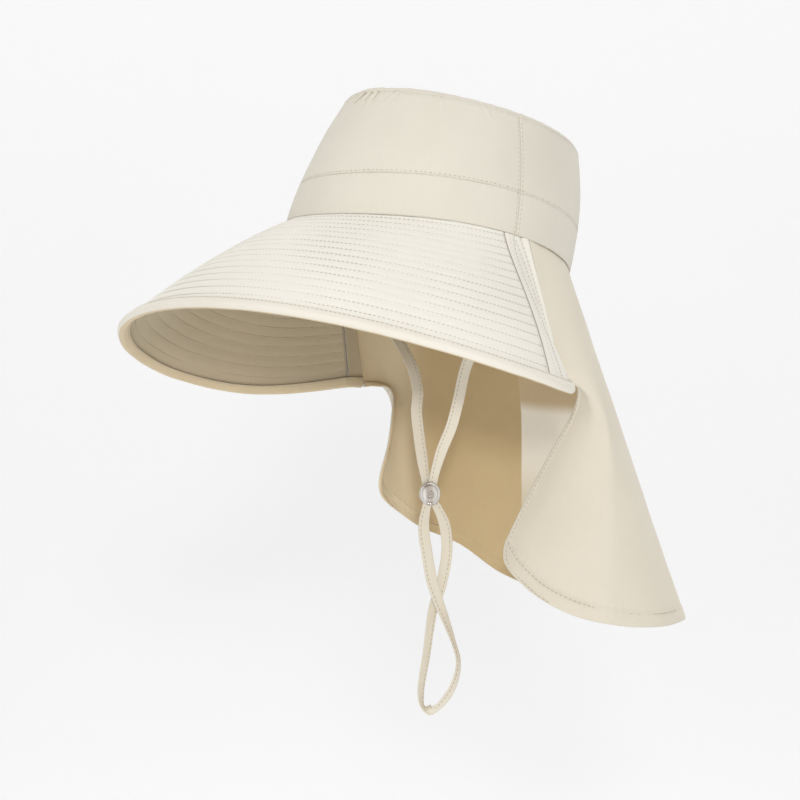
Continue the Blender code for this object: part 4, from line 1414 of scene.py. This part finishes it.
def flap_relief(u, v, points):
    """Soft standing folds that open towards the hem, the back seam and the folded hem."""
    down = flap_down(1 - v)
    folds = np.sin(u * 2 * math.pi * 5.2 + 0.8) * 0.0011
    folds += np.sin(u * 2 * math.pi * 9.7 + 2.1) * 0.0006
    folds = folds * np.clip(down - 0.12, 0, 1) * np.clip(np.minimum(u, 1 - u) / 0.08, 0, 1)
    seam = np.abs(u - BACK_SEAM - BACK_SEAM_SLANT * (down - 0.3)) * (0.285 + 0.22 * down)
    folds -= 0.00035 * near(seam, 0.0010)
    above_hem = (1 - down) * FLAP_LENGTH
    folds += 0.00045 * (1 / (1 + np.exp((above_hem - HEM_WIDTH) / 0.0004)))
    folds -= 0.0003 * near(above_hem - HEM_WIDTH - 0.0006, 0.0007)
    folds -= 0.0003 * near(above_hem - HEM_WIDTH + HEM_STITCH_BELOW, 0.0007)
    ripple = np.sin(u * 2 * math.pi * 74 + 5 * np.sin(u * 19)) * 0.00018
    folds += ripple * near(above_hem - HEM_WIDTH, 0.006)
    folds += slow_waves(points, 0.06, 3.3) * 0.0012 * np.clip(down, 0, 1)
    return folds + slow_waves(points, 0.02, 6.1) * 0.0003


def paint_inside_light_and_shade(finish, pale, lit_shaded_low, far):
    """Painted light and shade inside the flap: the half before the back seam is painted lighter,
    as if lit, with a painted shadow of the brim across its top and painted shade darkening it
    towards the hem, and the inside's painted shade lightens towards the far front edge.
    """
    tree = finish.node_tree
    where = add_node(tree, "ShaderNodeTexCoord").outputs["UV"]
    parts = add_node(tree, "ShaderNodeSeparateXYZ", {"Vector": where}).outputs

    def share_of(value, low, high, start=0.0, end=1.0, kind="SMOOTHSTEP"):
        return add_node(tree, "ShaderNodeMapRange",
                        {"Value": value, "From Min": low, "From Max": high, "To Min": start,
                         "To Max": end}, interpolation_type=kind).outputs["Result"]

    def blend(factor, first, second):
        return add_node(tree, "ShaderNodeMix", {"Factor": factor, 6: first, 7: second},
                        data_type="RGBA").outputs[2]

    slant = add_node(tree, "ShaderNodeMath",
                     {0: parts["Y"], 1: BACK_SEAM_SLANT * FLAP_MAP[0] / FLAP_MAP[1],
                      2: parts["X"]}, operation="MULTIPLY_ADD")
    seam_at = (BACK_SEAM + BACK_SEAM_SLANT * 0.7) * FLAP_MAP[0]
    # Painted light: the half before the back seam is lit.
    side = share_of(slant.outputs["Value"], seam_at - 0.0004, seam_at + 0.0004, 1.0, 0.0, "LINEAR")
    # Painted shadow of the brim across the top of the lit half.
    shade = share_of(parts["Y"], PAINTED_BRIM_SHADOW_TOP - 0.004, PAINTED_BRIM_SHADOW_TOP + 0.004, 1.0, 0.12)
    both = add_node(tree, "ShaderNodeMath", {0: side, 1: shade}, operation="MULTIPLY")
    # Painted shade: the lit half darkens towards the hem.
    painted_lit_colour = blend(share_of(parts["Y"], *PAINTED_HEM_SHADE_FADE), (*lit_shaded_low, 1), (*pale, 1))
    # The inside's painted shade lightens towards the far front edge.
    fade = share_of(parts["X"], *(share * FLAP_MAP[0] for share in FAR_EDGE_LIGHT_FADE))
    inside_shade_colour = blend(fade, tree.nodes["Tones"].outputs["Color"], (*far, 1))
    feed(tree.nodes["Shade"], {6: blend(both.outputs["Value"], inside_shade_colour, painted_lit_colour)})


flap_cotton = cloth_finish("flap_cotton", (0.77, 0.71, 0.59), (0.74, 0.68, 0.56))
# The flap's inner face is the same cotton painted tan: painted shade inside the flap.
flap_inside_shaded = cloth_finish("flap_inside_painted_shade", (0.59, 0.45, 0.25), (0.56, 0.42, 0.235))
# Colours of the painted light: the lit half, the lit half shaded at the hem, and the lighter far
# front edge.
paint_inside_light_and_shade(flap_inside_shaded, (0.90, 0.85, 0.74), (0.64, 0.57, 0.43), (0.72, 0.60, 0.41))
flap_thread = thread_finish("flap_thread", (0.48, 0.41, 0.30))
flap = make_wall("neck_flap", 260, 176, lambda u, v: flap_point(u, float(flap_down(1 - v))),
                 FLAP_CLOTH, flap_cotton, ("flap",), FLAP_MAP, flap_relief,
                 inner_finish=flap_inside_shaded)


def hem_line(raised):
    """A line of points along the hem's stitching."""
    line = []
    for step in range(2, HEM_STEPS - 1):
        u = step / HEM_STEPS
        down = 1 - (HEM_WIDTH - HEM_STITCH_BELOW) / FLAP_LENGTH
        point = flap_point(u, down)
        beside = flap_point(u + 0.003, down) - flap_point(u - 0.003, down)
        above = flap_point(u, down - 0.01) - point
        line.append(point + beside.cross(above).normalized() * raised)
    return line


hem_stitches = sew("hem_stitches", [hem_line(0.0004), hem_line(-FLAP_CLOTH)], flap_thread,
                   pitch=0.0032, length=0.0023, radius=0.00025)


# Rolled front edges.
# The flap's two free fronts are turned over twice and stitched, so each ends in a narrow firm
# roll that runs from the end strip round the corner, down to the hem and a little along it.
ROLL_WIDTH = 0.0034
ROLL_THICKNESS = 0.0024
ROLL_START = 0.004
ROLL_END = 1.30
ROLL_ON_HEM = 0.35
ROLL_STEPS = 240
ROLL_SIDES = 18
ROLL_TUCK = 0.0022
ROLL_THREAD_IN = 0.0008
roll_cotton = cloth_finish("roll_cotton", (0.74, 0.69, 0.58), (0.71, 0.66, 0.55))
# The inner half of each roll is painted tan: painted shade like the flap's inside.
roll_inside_shaded = cloth_finish("roll_inside_painted_shade", (0.68, 0.55, 0.36), (0.64, 0.51, 0.33))


def roll_path(side, share):
    """The edge from the end strip, 0, down to the hem's corner, 1, and a little along the hem."""
    here = 0.0 if side > 0 else 1.0
    if share <= 1:
        down = STRIP_SHARE + (1 - STRIP_SHARE) * share
        return flap_point(here, down), flap_point(here + side * 0.07, down - 0.12 * share)
    along = side * (share - 1) * ROLL_ON_HEM
    return flap_point(here + along, 1), flap_point(here + side * 0.07 + along, 0.88)


def roll_frames(side):
    """Middle, way out of the cloth and way off its face at each step down a front edge."""
    pairs = [roll_path(side, ROLL_START + (ROLL_END - ROLL_START) * step / ROLL_STEPS)
             for step in range(ROLL_STEPS + 1)]
    start = (pairs[1][0] - pairs[0][0]).normalized() * ROLL_TUCK
    pairs[0] = (pairs[0][0] - start, pairs[0][1] - start)
    frames = []
    for step in range(ROLL_STEPS + 1):
        low, high = max(step - 3, 0), min(step + 4, ROLL_STEPS + 1)
        edge = sum((pair[0] for pair in pairs[low:high]), Vector((0, 0, 0))) / (high - low)
        inside = sum((pair[1] for pair in pairs[low:high]), Vector((0, 0, 0))) / (high - low)
        along = (pairs[high - 1][0] - pairs[low][0]).normalized()
        out = edge - inside
        out = (out - along * out.dot(along)).normalized()
        inward = along.cross(out) * side
        frames.append((edge + inward * FLAP_CLOTH / 2, out, -inward))
    return frames


def make_roll(name, side, stands_for):
    """The roll as a flat oval tube that holds the flap's edge."""
    rings = []
    for step, (middle, out, off) in enumerate(roll_frames(side)):
        slim = float(np.interp(step / ROLL_STEPS, (0, 0.05, 0.80, 1), (1.35, 1, 1, 0.2)))
        ring = []
        for corner in range(ROLL_SIDES):
            x, y = soft_box(2 * math.pi * corner / ROLL_SIDES, 0.8, 0.8)
            outwards = x * slim * ROLL_WIDTH / 2 - (1 - slim) * ROLL_THREAD_IN
            ring.append(middle + out * outwards + off * y * slim * ROLL_THICKNESS / 2)
        rings.append(ring)
    item = make_tube(name, rings, lambda turn, run: (turn * 0.0005, run * 0.0005), roll_cotton,
                     roll_inside_shaded)
    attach(item, "root")
    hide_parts(stands_for)
    return item


roll_left = make_roll("rolled_edge_left", 1, "flap_edge_left")
roll_right = make_roll("rolled_edge_right", -1, "flap_edge_right")
roll_rows = []
for side in (1, -1):
    for face in (0.47, -0.47):
        roll_rows.append([middle - out * ROLL_THREAD_IN + off * ROLL_THICKNESS * face
                          for middle, out, off in roll_frames(side)[2:-2]])
roll_stitches = sew("roll_stitches", roll_rows, flap_thread, pitch=0.0031,
                    length=0.0022, radius=0.00024)
